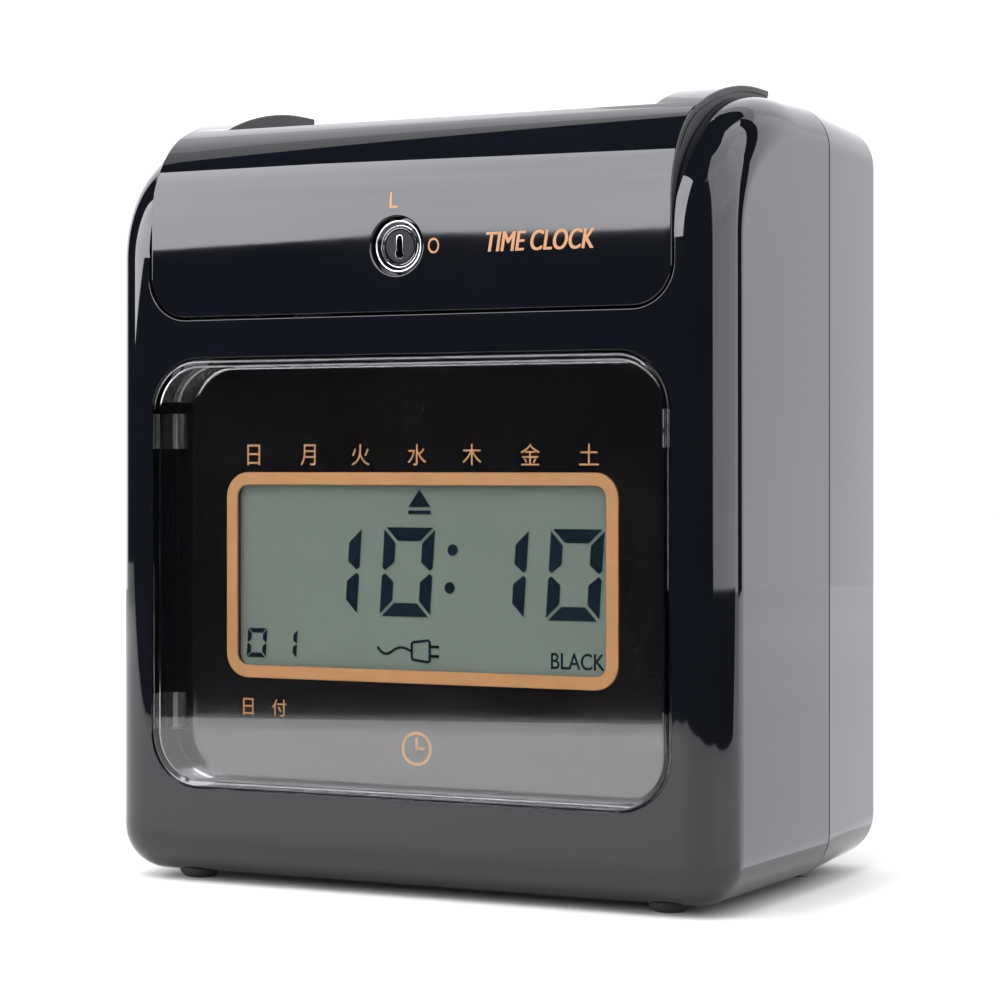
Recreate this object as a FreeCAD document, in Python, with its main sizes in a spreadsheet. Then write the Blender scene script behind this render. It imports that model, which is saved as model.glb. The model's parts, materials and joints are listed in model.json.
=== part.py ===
"""Punch time clock: a desk clock that prints the time on a card put into the slot in its top.

Frame: X to the right seen from the front, Y to the back, Z up, in millimetres. The origin is on the
table under the middle of the case. The driving dimensions are the cells of the sheet "dims".
Every sub-part is an object of the document, and its label is the name of its STEP file.
"""

import FreeCAD, Part
import math
import os
import re
import Sketcher
from FreeCAD import Rotation, Vector

DIMENSIONS = {
    # case: two drafted shells that meet at a seam
    "case_width": 193.6, "case_front": -61.0, "case_rear": 61.0, "case_bottom": 2.2, "case_top": 219.9,
    "seam_at": 12.8, "seam_gap": 0.4, "wall": 2.5, "edge_round": 13.0, "low_round": 14.0,
    "rear_round": 8.0,
    "front_draft": -1.15, "rear_draft": -2.0,
    "shoulder_start": 177.35, "shoulder_round": 35.5, "shoulder_turn": 50.0, "shoulder_crest": 64.1,
    # upper cover with its two arms
    "cover_half": 80.5, "cover_bottom": 160.0, "cover_corner": 11.5, "cover_wall": 2.4,
    "cover_start": 187.5, "brow_round": 29.0, "brow_turn": 66.0, "brow_crest": 110.0,
    "arm_inner": 67.0, "arm_end": 7.9, "visor_end": -41.0, "cover_gap": 0.7, "cover_depth": 9.0,
    # cover hinge
    "hinge_y": 9.6, "hinge_z": 217.8, "pin_radius": 0.8, "pin_play": 0.05, "knuckle_radius": 1.9,
    "knuckle_in": 70.5, "knuckle_out": 77.0, "boss_in": 66.0, "boss_out": 82.0, "boss_gap": 0.4,
    # lock in the cover
    "lock_x": -1.0, "lock_z": 178.0, "lock_mouth": 8.0, "lock_head": 7.2, "lock_shank": 5.9,
    "lock_floor": -57.5, "lock_tail": -50.0, "plug_radius": 4.6, "plug_play": 0.05,
    "cam_drop": 23.0, "cam_thick": 1.6,
    # display window
    "lens_half": 79.8, "lens_middle": 87.75, "lens_height": 120.5, "lens_corner": 15.0,
    "lens_face": -61.6, "lens_thick": 1.6, "lens_wall": 1.5, "lens_gap": 0.5, "ledge_at": -49.3,
    "ledge_thick": 1.8, "skirt_wall": 2.0, "ledge_reach": 5.3, "panel_thick": 1.3, "panel_gap": 0.7,
    "frame_half": 61.1, "frame_low": 58.1, "frame_high": 116.3, "frame_band": 3.6,
    "frame_thick": 0.5, "frame_corner": 7.0, "glass_thick": 2.0, "glass_margin": 2.4,
    "tray_thick": 5.2, "board_thick": 1.6,
    # card path
    "card_half": 44.2, "chute_front": -6.4, "chute_back": -1.1, "guide_thick": 1.5,
    "guide_half": 50.0, "guide_bottom": 18.0, "deck_top": 207.0, "deck_thick": 2.0,
    "print_low": 171.0, "print_high": 188.0, "print_half": 43.8,
    # mechanism frame
    "plate_half": 60.0, "plate_thick": 1.5, "plate_front": -40.2, "plate_back": 36.0,
    "plate_bottom": 108.0, "lug_low_x": 76.0, "lug_low_z": 118.0, "lug_high_x": 78.2, "lug_high_z": 165.0,
    # card feed
    "feed_y": 5.6, "feed_z": 140.0, "feed_radius": 9.0, "feed_shaft_radius": 2.5,
    "pinch_y": -10.2, "pinch_radius": 6.2, "pinch_shaft_radius": 2.0, "roller_x": 25.0,
    "roller_width": 12.0, "gear_module": 0.7, "feed_teeth": 36.0, "pinion_teeth": 12.0,
    "gear_low": 51.5, "gear_width": 5.0, "motor_turn": 27.69, "motor_radius": 11.0,
    "motor_length": 16.0, "play": 0.05,
    # print carriage
    "rod_radius": 3.0, "rod_y": -25.0, "rod_z": 166.0, "pulley_x": 49.0, "pulley_y": -30.0,
    "pulley_radius": 4.6, "belt_low": 156.6, "belt_width": 4.0, "belt_thick": 0.9,
    "bay_floor": 153.5, "bay_floor_thick": 1.5,
    # ribbon
    "tray_low": 187.6, "cassette_low": 189.4, "cassette_high": 199.4, "ribbon_y": -9.4,
    "post_x": 55.0, "post_y": -41.6, "post_radius": 2.0, "knob_x": -26.0, "knob_y": -41.5,
    "cassette_front": -48.0, "cassette_back": -30.0,
    # setting keys behind the cover
    "key_plate_front": -51.5, "key_plate_thick": 1.5, "key_first_x": 18.5, "key_pitch": 11.5,
    "key_panel_low": 13.0, "key_panel_high": 58.3,
    "key_width": 7.0, "key_low": 168.0, "key_high": 176.0, "key_proud": 2.2, "key_gap": 0.35,
    # electronics
    "board_y": 40.0, "board_half": 62.0, "board_low": 62.0, "board_high": 168.0,
    "jack_x": 56.0, "jack_z": 30.0, "insert_x": 50.0, "insert_z": 176.0, "insert_bore": 2.0,
    # feet and screws
    "foot_x": 73.5, "foot_front": -46.0, "foot_back": 45.0, "foot_radius": 6.0, "foot_top": 6.0,
    "screw_x": 85.5, "screw_low": 15.5, "screw_high": 199.0, "post_round": 4.2,
}

doc = FreeCAD.newDocument("time_clock")
sheet = doc.addObject("Spreadsheet::Sheet", "dims")
for row, (alias, number) in enumerate(DIMENSIONS.items(), start=1):
    sheet.set(f"A{row}", alias)
    sheet.set(f"B{row}", str(number))
    sheet.setAlias(f"B{row}", alias)
doc.recompute()

TURN_TO = {
    "x": Rotation(Vector(0, 1, 0), 90),
    "y": Rotation(Vector(1, 0, 0), -90),
    "z": Rotation(),
}
nodes = []


def formula(text):
    """Point each cell name in a formula at the sheet."""
    return re.sub(r"[a-z_]+", lambda word: ("dims." if word[0] in DIMENSIONS else "") + word[0], str(text))


def worth(text):
    """Give a formula's value."""
    return float(sheet.evalExpression(formula(text)))


def bind(item, path, text):
    item.setExpression(path, formula(text))


def span(side, near, far):
    """Give the low and high end of a stretch that lies on one side of the middle plane."""
    return (near, far) if side > 0 else (f"-({far})", f"-({near})")


def node(item, name):
    """Make an object a sub-part with its own label."""
    item.Label = name
    nodes.append(item)
    return item


def block(name, x, y, z):
    """A box between formulas for its low and high faces."""
    solid = doc.addObject("Part::Box", name)
    for size, way, (low, high) in zip(("Length", "Width", "Height"), "xyz", (x, y, z)):
        bind(solid, size, f"({high}) - ({low})")
        bind(solid, "Placement.Base." + way, low)
    return solid


def rod(name, way, radius, ends, at):
    """A round bar along x, y or z. The pair at gives its axis on the other two, in their order."""
    solid = doc.addObject("Part::Cylinder", name)
    solid.Placement.Rotation = TURN_TO[way]
    bind(solid, "Radius", radius)
    bind(solid, "Height", f"({ends[1]}) - ({ends[0]})")
    bind(solid, "Placement.Base." + way, ends[0])
    for other, text in zip("xyz".replace(way, ""), at):
        bind(solid, "Placement.Base." + other, text)
    return solid


def hexagon(name, radius, ends, at):
    """A six-sided bar along y. Its radius is to the corners."""
    solid = doc.addObject("Part::Prism", name)
    solid.Polygon = 6
    solid.Placement.Rotation = TURN_TO["y"]
    bind(solid, "Circumradius", radius)
    bind(solid, "Height", f"({ends[1]}) - ({ends[0]})")
    bind(solid, "Placement.Base.x", at[0])
    bind(solid, "Placement.Base.y", ends[0])
    bind(solid, "Placement.Base.z", at[1])
    return solid


def fuse(name, solids):
    joined = doc.addObject("Part::MultiFuse", name)
    joined.Shapes = solids
    joined.Refine = True
    return joined


def cut(name, base, tools):
    tool = tools[0] if len(tools) == 1 else fuse(name + "_tools", tools)
    result = doc.addObject("Part::Cut", name)
    result.Base = base
    result.Tool = tool
    return result


def common(name, first, second):
    result = doc.addObject("Part::Common", name)
    result.Base = first
    result.Tool = second
    return result


def group(name, solids):
    """Separate solids that share one node."""
    result = doc.addObject("Part::Compound", name)
    result.Links = solids
    return result


def sketch_on(body, role, offset):
    """A sketch on one of the body's own origin planes, moved along the plane's normal."""
    sketch = body.newObject("Sketcher::SketchObject", body.Name + "_sketch")
    plane = next(item for item in body.Origin.OriginFeatures if item.Role == role)
    sketch.AttachmentSupport = [(plane, "")]
    sketch.MapMode = "FlatFace"
    bind(sketch, "AttachmentOffset.Base.z", offset)
    return sketch


def constrain(sketch, name, rule, text):
    """Add a dimension to the sketch and bind it to a formula."""
    index = sketch.addConstraint(Sketcher.Constraint(*rule, worth(text)))
    sketch.renameConstraint(index, name)
    bind(sketch, "Constraints." + name, text)


def draw_outline(sketch, corners):
    """Draw a closed outline. A corner with a third value starts an arc of that radius, turning right."""
    places = [Vector(worth(corner[0]), worth(corner[1]), 0) for corner in corners]
    ends = []
    for index, corner in enumerate(corners):
        start, stop = places[index], places[(index + 1) % len(places)]
        if len(corner) == 2:
            sketch.addGeometry(Part.LineSegment(start, stop), False)
            ends.append((1, 2))
            continue
        radius = worth(corner[2])
        chord = stop - start
        right = Vector(chord.y, -chord.x, 0).normalize()
        centre = (start + stop) * 0.5 + right * math.sqrt(radius**2 - (chord.Length / 2) ** 2)
        angles = [math.atan2(place.y - centre.y, place.x - centre.x) for place in (stop, start)]
        circle = Part.Circle(centre, Vector(0, 0, 1), radius)
        sketch.addGeometry(Part.ArcOfCircle(circle, angles[0], angles[1]), False)
        ends.append((2, 1))
    for index, corner in enumerate(corners):
        following = (index + 1) % len(corners)
        sketch.addConstraint(
            Sketcher.Constraint("Coincident", index, ends[index][1], following, ends[following][0])
        )
        constrain(sketch, f"across{index}", ("DistanceX", -1, 1, index, ends[index][0]), corner[0])
        constrain(sketch, f"along{index}", ("DistanceY", -1, 1, index, ends[index][0]), corner[1])
        if len(corner) == 3:
            constrain(sketch, f"bend{index}", ("Radius", index), corner[2])


def draw_round_rectangle(sketch, width, height, corner):
    """Draw a rectangle with round corners about the sketch's origin."""
    half_w, half_h, bend = worth(width) / 2, worth(height) / 2, worth(corner)
    in_w, in_h = half_w - bend, half_h - bend
    turns = [(in_w, -in_h, -90), (in_w, in_h, 0), (-in_w, in_h, 90), (-in_w, -in_h, 180)]
    sides = [
        ((-in_w, -half_h), (in_w, -half_h)),
        ((half_w, -in_h), (half_w, in_h)),
        ((in_w, half_h), (-in_w, half_h)),
        ((-half_w, in_h), (-half_w, -in_h)),
    ]
    for (start, stop), (x, y, angle) in zip(sides, turns):
        sketch.addGeometry(Part.LineSegment(Vector(*start, 0), Vector(*stop, 0)), False)
        circle = Part.Circle(Vector(x, y, 0), Vector(0, 0, 1), bend)
        sketch.addGeometry(
            Part.ArcOfCircle(circle, math.radians(angle), math.radians(angle + 90)), False
        )
    for index in range(8):
        sketch.addConstraint(Sketcher.Constraint("Tangent", index, 2, (index + 1) % 8, 1))
    for index in (3, 5, 7):
        sketch.addConstraint(Sketcher.Constraint("Equal", 1, index))
    sketch.addConstraint(Sketcher.Constraint("Horizontal", 0))
    sketch.addConstraint(Sketcher.Constraint("Symmetric", 7, 3, 3, 3, -1, 1))
    constrain(sketch, "corner", ("Radius", 1), corner)
    constrain(sketch, "width", ("DistanceX", 7, 1, 2, 1), width)
    constrain(sketch, "height", ("DistanceY", 0, 1, 4, 2), height)


def pad(body, sketch, length):
    feature = body.newObject("PartDesign::Pad", body.Name + "_pad")
    feature.Profile = sketch
    bind(feature, "Length", length)
    return feature


def prism(name, role, ends, corners):
    """A closed outline on an origin plane, made thick between two places along that plane's axis."""
    body = doc.addObject("PartDesign::Body", name)
    offset = f"-({ends[1]})" if role == "XZ_Plane" else ends[0]
    sketch = sketch_on(body, role, offset)
    draw_outline(sketch, corners)
    pad(body, sketch, f"({ends[1]}) - ({ends[0]})")
    return body


def plate(name, role, ends, size, corner, centre):
    """A plate with round corners; centre gives its middle in the plane's own two directions."""
    body = doc.addObject("PartDesign::Body", name)
    offset = f"-({ends[1]})" if role == "XZ_Plane" else ends[0]
    sketch = sketch_on(body, role, offset)
    bind(sketch, "AttachmentOffset.Base.x", centre[0])
    bind(sketch, "AttachmentOffset.Base.y", centre[1])
    draw_round_rectangle(sketch, size[0], size[1], corner)
    pad(body, sketch, f"({ends[1]}) - ({ends[0]})")
    return body


def round_edges(body, name, radius, wanted):
    """Fillet the edges of the body's last feature that the test picks."""
    doc.recompute()
    base = body.Tip
    picked = [
        f"Edge{index}" for index, edge in enumerate(base.Shape.Edges, start=1) if wanted(edge)
    ]
    fillet = body.newObject("PartDesign::Fillet", name)
    fillet.Base = (base, picked)
    bind(fillet, "Radius", radius)
    return fillet


def brow(front, start, first, turn, second, inset):
    """The rising curve of a front: up the face, round a tight bend, then a wide one to level.

    Gives the four ends of the curve's arcs, moved inwards by inset, with the arcs' radii."""
    knee_y = f"{front} + {first} * (1 - cos({turn})) + {inset} * cos({turn})"
    knee_z = f"{start} + ({first} - {inset}) * sin({turn})"
    crest_y = f"{front} + {first} * (1 - cos({turn})) + {second} * cos({turn})"
    crest_z = f"{start} + {first} * sin({turn}) + {second} * (1 - sin({turn})) - {inset}"
    return [
        (f"{front} + {inset}", start, f"{first} - {inset}"),
        (knee_y, knee_z, f"{second} - {inset}"),
        (crest_y, crest_z),
    ]


SHOULDER = ("case_front", "shoulder_start", "shoulder_round", "shoulder_turn", "shoulder_crest")
COVER = ("case_front", "cover_start", "brow_round", "brow_turn", "brow_crest")


def case_half(name, to_front, inset):
    """One drafted half of the case as a solid block, smaller by inset all round."""
    body = doc.addObject("PartDesign::Body", name)
    sketch = sketch_on(body, "XZ_Plane", "-seam_at")
    half, low, high = f"case_width / 2 - {inset}", f"case_bottom + {inset}", f"case_top - {inset}"
    draw_outline(sketch, [(f"-({half})", low), (half, low), (half, high), (f"-({half})", high)])
    depth = f"seam_at - case_front - {inset}" if to_front else f"case_rear - seam_at - {inset}"
    block_pad = pad(body, sketch, depth)
    block_pad.Reversed = not to_front
    bind(block_pad, "TaperAngle", "front_draft" if to_front else "rear_draft")
    seam = worth("seam_at")
    if not to_front:
        rear = worth(f"case_rear - {inset}")
        round_edges(body, name + "_sides", f"edge_round - {inset}",
                    lambda edge: edge.BoundBox.YLength > 1)
        round_edges(body, name + "_back", f"rear_round - {inset}",
                    lambda edge: edge.BoundBox.YMin > rear - 0.1)
        return body
    doc.recompute()
    curve = brow(*SHOULDER, inset)
    above = f"{curve[2][1]} + 20"
    before = "case_front - 20"
    shave = sketch_on(body, "YZ_Plane", "0")
    draw_outline(shave, [(before, curve[0][1]), *curve, (curve[2][0], above), (before, above)])
    pocket = body.newObject("PartDesign::Pocket", name + "_brow")
    pocket.Profile = shave
    pocket.SideType = "Symmetric"
    pocket.Type = "ThroughAll"
    round_edges(body, name + "_low", f"low_round - {inset}", low_edge)
    round_edges(body, name + "_edges", f"edge_round - {inset}",
                lambda edge: edge.BoundBox.YMin < seam - 1 and outer_edge(edge) and not low_edge(edge))
    return body


def low_edge(edge):
    """Tell an edge that runs back along the bottom of the front half."""
    box = edge.BoundBox
    return box.YLength > 50 and box.ZMax < 30


def outer_edge(edge):
    """Tell an edge that runs round the case's outside from one that crosses its face."""
    box = edge.BoundBox
    crosses = box.XLength > 100
    return not crosses or box.ZMax < 30


# Case shells ------------------------------------------------------------------------------------


def lens_plate(name, grow, ends):
    """A plate of the lens's outline, larger by grow all round."""
    size = (f"2 * (lens_half + {grow})", f"lens_height + 2 * ({grow})")
    return plate(name, "XZ_Plane", ends, size, f"lens_corner + {grow}", ("0", "lens_middle"))


def screw_places():
    """The four case screws, as pairs of formulas."""
    return [(f"{side} * screw_x", z) for side in (-1, 1) for z in ("screw_low", "screw_high")]


def lug_places():
    """The four lugs that hold the mechanism frame, as pairs of formulas."""
    low = [(f"{side} * lug_low_x", "lug_low_z") for side in (-1, 1)]
    return low + [(f"{side} * lug_high_x", "lug_high_z") for side in (-1, 1)]


def make_front_housing():
    outer = case_half("front_outer", True, "0")
    shell = cut("front_shell", outer, [case_half("front_inner", True, "wall")])
    skirt = lens_plate("window_skirt", "lens_gap + skirt_wall", ("case_front + 1", "ledge_at"))
    ledge = lens_plate("window_ledge", "lens_gap + skirt_wall", ("ledge_at", "ledge_at + ledge_thick"))
    within = [skirt, ledge]
    for side in (-1, 1):
        x = span(side, "cover_half + cover_gap", "cover_half + cover_gap + 1.5")
        low = ("cover_bottom - cover_gap - 1.5", "case_top - wall / 2")
        within.append(block(f"bay_side{side}", x, ("case_front", "seam_at - 3"), low))
        for inner, outer_end, tag in (("boss_in", "knuckle_in - boss_gap", "inner"),
                                      ("knuckle_out + boss_gap", "boss_out", "outer")):
            x = span(side, inner, outer_end)
            name = f"{tag}_boss{side}"
            within.append(rod(name, "x", "knuckle_radius", x, ("hinge_y", "hinge_z")))
            within.append(block(name + "_root", x, ("hinge_y", "seam_at - seam_gap / 2"),
                                ("hinge_z - 3.4", "hinge_z + knuckle_radius")))
    x = ("-(cover_half + cover_gap + 1.5)", "cover_half + cover_gap + 1.5")
    z = ("cover_bottom - cover_gap - 1.5", "cover_bottom - cover_gap")
    within.append(block("bay_sill", x, ("case_front", "case_front + 8.5"), z))
    z = ("cover_bottom - 8", "cover_bottom - 5.8")
    within.append(block("strike", ("lock_x - 7", "lock_x + 7"), ("case_front + 1", "lock_tail - 2"), z))
    for index, place in enumerate(screw_places()):
        ends = ("case_front + 1", "seam_at - 3")
        within.append(rod(f"screw_post{index}", "y", "post_round", ends, place))
    for index, place in enumerate(lug_places()):
        ends = ("ledge_at", "plate_front") if index < 2 else ("plate_front - 7", "plate_front")
        within.append(rod(f"lug_post{index}", "y", "3.4", ends, place))
    for side in (-1, 1):
        ends = ("case_bottom", "foot_top + wall")
        place = (f"{side} * foot_x", "foot_front")
        within.append(rod(f"foot_boss{side}", "z", "foot_radius + 2", ends, place))
    ribs = common("front_ribs", fuse("front_within", within), case_half("front_outer_again", True, "0.3"))
    solid = fuse("front_solid", [shell, ribs])
    tools = [lens_plate("window_mouth", "lens_gap", ("case_front - 5", "ledge_at")),
             lens_plate("window_through", "lens_gap - ledge_reach", ("case_front", "seam_at"))]
    size = ("2 * (cover_half + cover_gap)", "120")
    mouth = ("0", "cover_bottom - cover_gap + 60")
    tools.append(plate("cover_mouth", "XZ_Plane", ("case_front - 5", "case_front + 15.5"), size,
                       "cover_corner + cover_gap", mouth))
    x = ("-(cover_half + cover_gap)", "cover_half + cover_gap")
    tools.append(block("cover_roof", x, ("case_front + 12", "hinge_y - 1.2"), ("200", "case_top + 5")))
    for side in (-1, 1):
        x = span(side, "knuckle_in - boss_gap", "knuckle_out + boss_gap")
        y = ("hinge_y - 3", "hinge_y + knuckle_radius + 0.4")
        tools.append(block(f"knuckle_notch{side}", x, y, ("hinge_z - 5", "hinge_z + 5")))
        x = span(side, "boss_in - 5", "boss_out + 1")
        tools.append(rod(f"pin_seat{side}", "x", "pin_radius", x, ("hinge_y", "hinge_z")))
        place = (f"{side} * foot_x", "foot_front")
        tools.append(rod(f"foot_seat{side}", "z", "foot_radius + 0.05", ("0", "foot_top"), place))
    # the sides of the roof opening keep the bosses: cut the roof first, then add them again
    opened = cut("front_opened", solid, tools[:4])
    bosses = [item for item in within if "boss1" in item.Name or "boss_1" in item.Name]
    whole = fuse("front_whole", [opened] + [item for item in bosses if "foot" not in item.Name])
    for index, place in enumerate(screw_places()):
        ends = ("seam_at - 24", "seam_at")
        tools.append(rod(f"screw_bore{index}", "y", "1.4", ends, place))
    for index, place in enumerate(lug_places()):
        tools.append(rod(f"lug_bore{index}", "y", "1.2", ("plate_front - 6", "plate_front"), place))
    tools.append(block("sill_notch", ("lock_x - 6", "lock_x + 6"), ("case_front + 4.5", "case_front + 10"),
                       ("cover_bottom - 3", "cover_bottom")))
    wide = ("-case_width", "case_width")
    tools.append(block("front_trim", wide, ("seam_at - seam_gap / 2", "seam_at + 5"), ("0", "300")))
    return node(cut("front_housing", whole, tools[4:]), "front_housing")


def make_rear_housing():
    outer = case_half("rear_outer", False, "0")
    shell = cut("rear_shell", outer, [case_half("rear_inner", False, "wall")])
    middle, height = "(case_bottom + case_top) / 2", "case_top - case_bottom"
    lip = []
    for part, far, outside in (("tongue", "seam_at + 2", "wall + 0.15"), ("root", "seam_at + 4", "wall / 2")):
        rings = []
        for tag, inset in (("out", outside), ("in", "wall + 1.35")):
            size = (f"case_width - 2 * ({inset})", f"{height} - 2 * ({inset})")
            ends = ("seam_at - 2.8" if part == "tongue" else "seam_at", far)
            corner = f"low_round - ({inset})"
            rings.append(plate(f"lip_{part}_{tag}", "XZ_Plane", ends, size, corner, ("0", middle)))
        lip.append(cut(f"lip_{part}", rings[0], [rings[1]]))
    within = lip
    for index, place in enumerate(screw_places()):
        within.append(rod(f"screw_tube{index}", "y", "post_round + 1.4", ("seam_at - 2.6", "case_rear"),
                          place))
    for side in (-1, 1):
        place = (f"{side} * insert_x", "insert_z")
        within.append(rod(f"insert_boss{side}", "y", "5", ("case_rear - 13", "case_rear"), place))
        place = (f"{side} * foot_x", "foot_back")
        within.append(rod(f"rear_foot_boss{side}", "z", "foot_radius + 2",
                          ("case_bottom", "foot_top + wall"), place))
        x = span(side, "board_half - 9", "board_half - 3")
        for low in ("board_low + 3", "board_high - 9"):
            name = f"board_post{side}{low[6]}"
            within.append(block(name, x, ("board_y + board_thick", "case_rear - 1"), (low, f"{low} + 6")))
    around = case_half("rear_outer_again", False, "0.3")
    backing = block("lip_zone", ("-case_width", "case_width"), ("seam_at - 3", "seam_at"), ("0", "300"))
    ribs = common("rear_ribs", fuse("rear_within", within), fuse("rear_zone", [around, backing]))
    pads = []
    for side in (-1, 1):
        for low in ("30", "186"):
            x = span(side, "70", "82")
            pads.append(block(f"wall_pad{side}_{low}", x, ("case_rear - 1", "case_rear + 0.6"),
                              (low, f"{low} + 8")))
    solid = fuse("rear_solid", [shell, ribs] + pads)
    x, z = ("-84", "84"), ("205", "300")
    tools = [block("lip_relief", x, ("seam_at - 5", "seam_at + seam_gap / 2"), z)]
    wide = ("-case_width", "case_width")
    for index, place in enumerate(screw_places()):
        tools.append(rod(f"screw_way{index}", "y", "post_round", ("seam_at + 5", "case_rear + 5"), place))
        tools.append(rod(f"screw_hole{index}", "y", "1.8", ("seam_at - 5", "seam_at + 6"), place))
    for side in (-1, 1):
        place = (f"{side} * insert_x", "insert_z")
        tools.append(rod(f"insert_seat{side}", "y", "2.8", ("case_rear - 10", "case_rear + 2"), place))
        place = (f"{side} * foot_x", "foot_back")
        tools.append(rod(f"rear_foot_seat{side}", "z", "foot_radius + 0.05", ("0", "foot_top"), place))
    x, z = ("jack_x - 5.1", "jack_x + 5.1"), ("jack_z - 5.6", "jack_z + 5.6")
    tools.append(block("jack_window", x, ("case_rear - 4", "case_rear + 2"), z))
    for index in range(6):
        z = (f"{70 + 7 * index}", f"{73 + 7 * index}")
        tools.append(block(f"vent{index}", ("-20", "20"), ("case_rear - 4", "case_rear + 2"), z))
    rear_trim = block("rear_trim", wide, ("seam_at - 0.1", "seam_at + seam_gap / 2"), ("0", "300"))
    ring = cut("rear_gap", rear_trim, [plate("rear_gap_core", "XZ_Plane", ("seam_at - 1", "seam_at + 1"),
                                             ("case_width - 2 * (wall + 0.15)",
                                              f"{height} - 2 * (wall + 0.15)"),
                                             "low_round - (wall + 0.15)", ("0", middle))])
    return node(cut("rear_housing", solid, tools + [ring]), "rear_housing")


def make_small_case_pieces():
    feet = []
    for side in (-1, 1):
        for y in ("foot_front", "foot_back"):
            name = f"foot{side}{y[5:]}"
            feet.append(rod(name, "z", "foot_radius", ("0", "foot_top"), (f"{side} * foot_x", y)))
    node(group("rubber_feet", feet), "rubber_feet")
    screws = []
    for index, place in enumerate(screw_places()):
        head = rod(f"screw_head{index}", "y", "3.4", ("seam_at + 6", "seam_at + 8.4"), place)
        shank = rod(f"screw_shank{index}", "y", "1.4", ("seam_at - 14", "seam_at + 7"), place)
        cross = [block(f"screw_slot{index}{way}", (f"{place[0]} - {a}", f"{place[0]} + {a}"),
                       ("seam_at + 7.4", "seam_at + 9"), (f"{place[1]} - {b}", f"{place[1]} + {b}"))
                 for way, a, b in (("a", 1.9, 0.4), ("b", 0.4, 1.9))]
        screws.append(cut(f"screw{index}", fuse(f"screw_blank{index}", [head, shank]), cross))
    node(group("case_screws", screws), "case_screws")
    inserts = []
    for side in (-1, 1):
        place = (f"{side} * insert_x", "insert_z")
        sleeve = rod(f"insert_sleeve{side}", "y", "2.8", ("case_rear - 9", "case_rear"), place)
        bore = rod(f"insert_bore{side}", "y", "insert_bore", ("case_rear - 10", "case_rear + 1"), place)
        inserts.append(cut(f"insert{side}", sleeve, [bore]))
    node(group("wall_inserts", inserts), "wall_inserts")
    pins = []
    for side in (-1, 1):
        x = span(side, "boss_in - 1", "boss_out - 0.2")
        pins.append(rod(f"hinge_pin{side}", "x", "pin_radius", x, ("hinge_y", "hinge_z")))
    node(group("hinge_pins", pins), "hinge_pins")
    shell = block("jack_body", ("jack_x - 5", "jack_x + 5"), ("case_rear - 14", "case_rear - 0.4"),
                  ("jack_z - 5.5", "jack_z + 5.5"))
    bore = rod("jack_bore", "y", "2.8", ("case_rear - 10", "case_rear + 1"), ("jack_x", "jack_z"))
    pin = rod("jack_pin", "y", "1.0", ("case_rear - 11", "case_rear - 1.2"), ("jack_x", "jack_z"))
    node(fuse("dc_jack", [cut("jack_shell", shell, [bore]), pin]), "dc_jack")


# Upper cover and its lock -----------------------------------------------------------------------


def make_upper_cover():
    half = "cover_half"
    curve = brow(*COVER, "0")
    crest = curve[2][1]
    depth = "cover_depth"
    inside = brow(*COVER, depth)
    rear = "arm_end"
    # the outline of the arms: face, brow, flat top, end, and back along the underside
    under = [(rear, f"{crest} - cover_depth + 1"), (inside[2][0], f"{crest} - cover_depth"),
             inside[1][:2], (f"case_front + {depth}", "cover_start"),
             (f"case_front + {depth}", "cover_bottom")]
    outline = [("case_front", "cover_bottom"), *curve, (rear, crest), *under]
    outer = prism("cover_block", "YZ_Plane", (f"-{half}", half), outline)
    size = (f"2 * {half}", "120")
    mask = plate("cover_mask", "XZ_Plane", ("case_front - 5", "case_front + 120"), size,
                 "cover_corner", ("0", "cover_bottom + 60"))
    shaped = common("cover_shaped", outer, mask)
    hollow = brow(*COVER, "cover_wall")
    roof = hollow[2][1]
    inner = [("case_front + cover_wall", "cover_bottom + cover_wall"), *hollow,
             (f"{rear} - cover_wall", roof), (f"{rear} - cover_wall", "200"),
             ("case_front + 30", "200"), ("case_front + 30", "cover_bottom + cover_wall")]
    tools = [prism("cover_hollow", "YZ_Plane", ("-arm_inner", "arm_inner"), inner)]
    for side in (-1, 1):
        x = span(side, "arm_inner + 2.2", f"{half} - 2.2")
        tools.append(prism(f"arm_hollow{side}", "YZ_Plane", x, inner))
    tools.append(block("visor_cut", ("-arm_inner", "arm_inner"), ("visor_end", "arm_end + 1"),
                       ("150", "230")))
    x = (f"-({half} + 1)", f"{half} + 1")
    tools.append(rod("hinge_scoop", "x", "knuckle_radius + boss_gap + 0.1", x, ("hinge_y", "hinge_z")))
    shell = cut("cover_shell", shaped, tools)
    added = [shell]
    for side in (-1, 1):
        x = span(side, "knuckle_in", "knuckle_out")
        added.append(rod(f"knuckle{side}", "x", "knuckle_radius", x, ("hinge_y", "hinge_z")))
        added.append(block(f"knuckle_web{side}", x, ("arm_end - 2.4", "hinge_y"),
                           ("hinge_z - knuckle_radius", "hinge_z + knuckle_radius - 0.4")))
        added.append(block(f"arm_back{side}", span(side, "arm_inner", half),
                           ("arm_end - 4.6", "arm_end - 2.2"),
                           (f"{crest} - cover_depth + 1", f"{crest} - 1")))
    place = ("lock_x", "lock_z")
    added.append(rod("lock_cup", "y", "lock_mouth + 1.8", ("case_front + 1", "lock_floor + 2"), place))
    whole = fuse("cover_whole", added)
    bores = [rod("lock_mouth_bore", "y", "lock_mouth", ("case_front - 2", "lock_floor"), place),
             rod("lock_shank_bore", "y", "lock_shank", ("lock_floor - 1", "lock_floor + 4"), place)]
    for side in (-1, 1):
        x = span(side, "knuckle_in - 0.2", "knuckle_out + 0.2")
        bores.append(rod(f"knuckle_bore{side}", "x", "pin_radius + pin_play", x, ("hinge_y", "hinge_z")))
    node(cut("upper_cover", whole, bores), "upper_cover")


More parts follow.
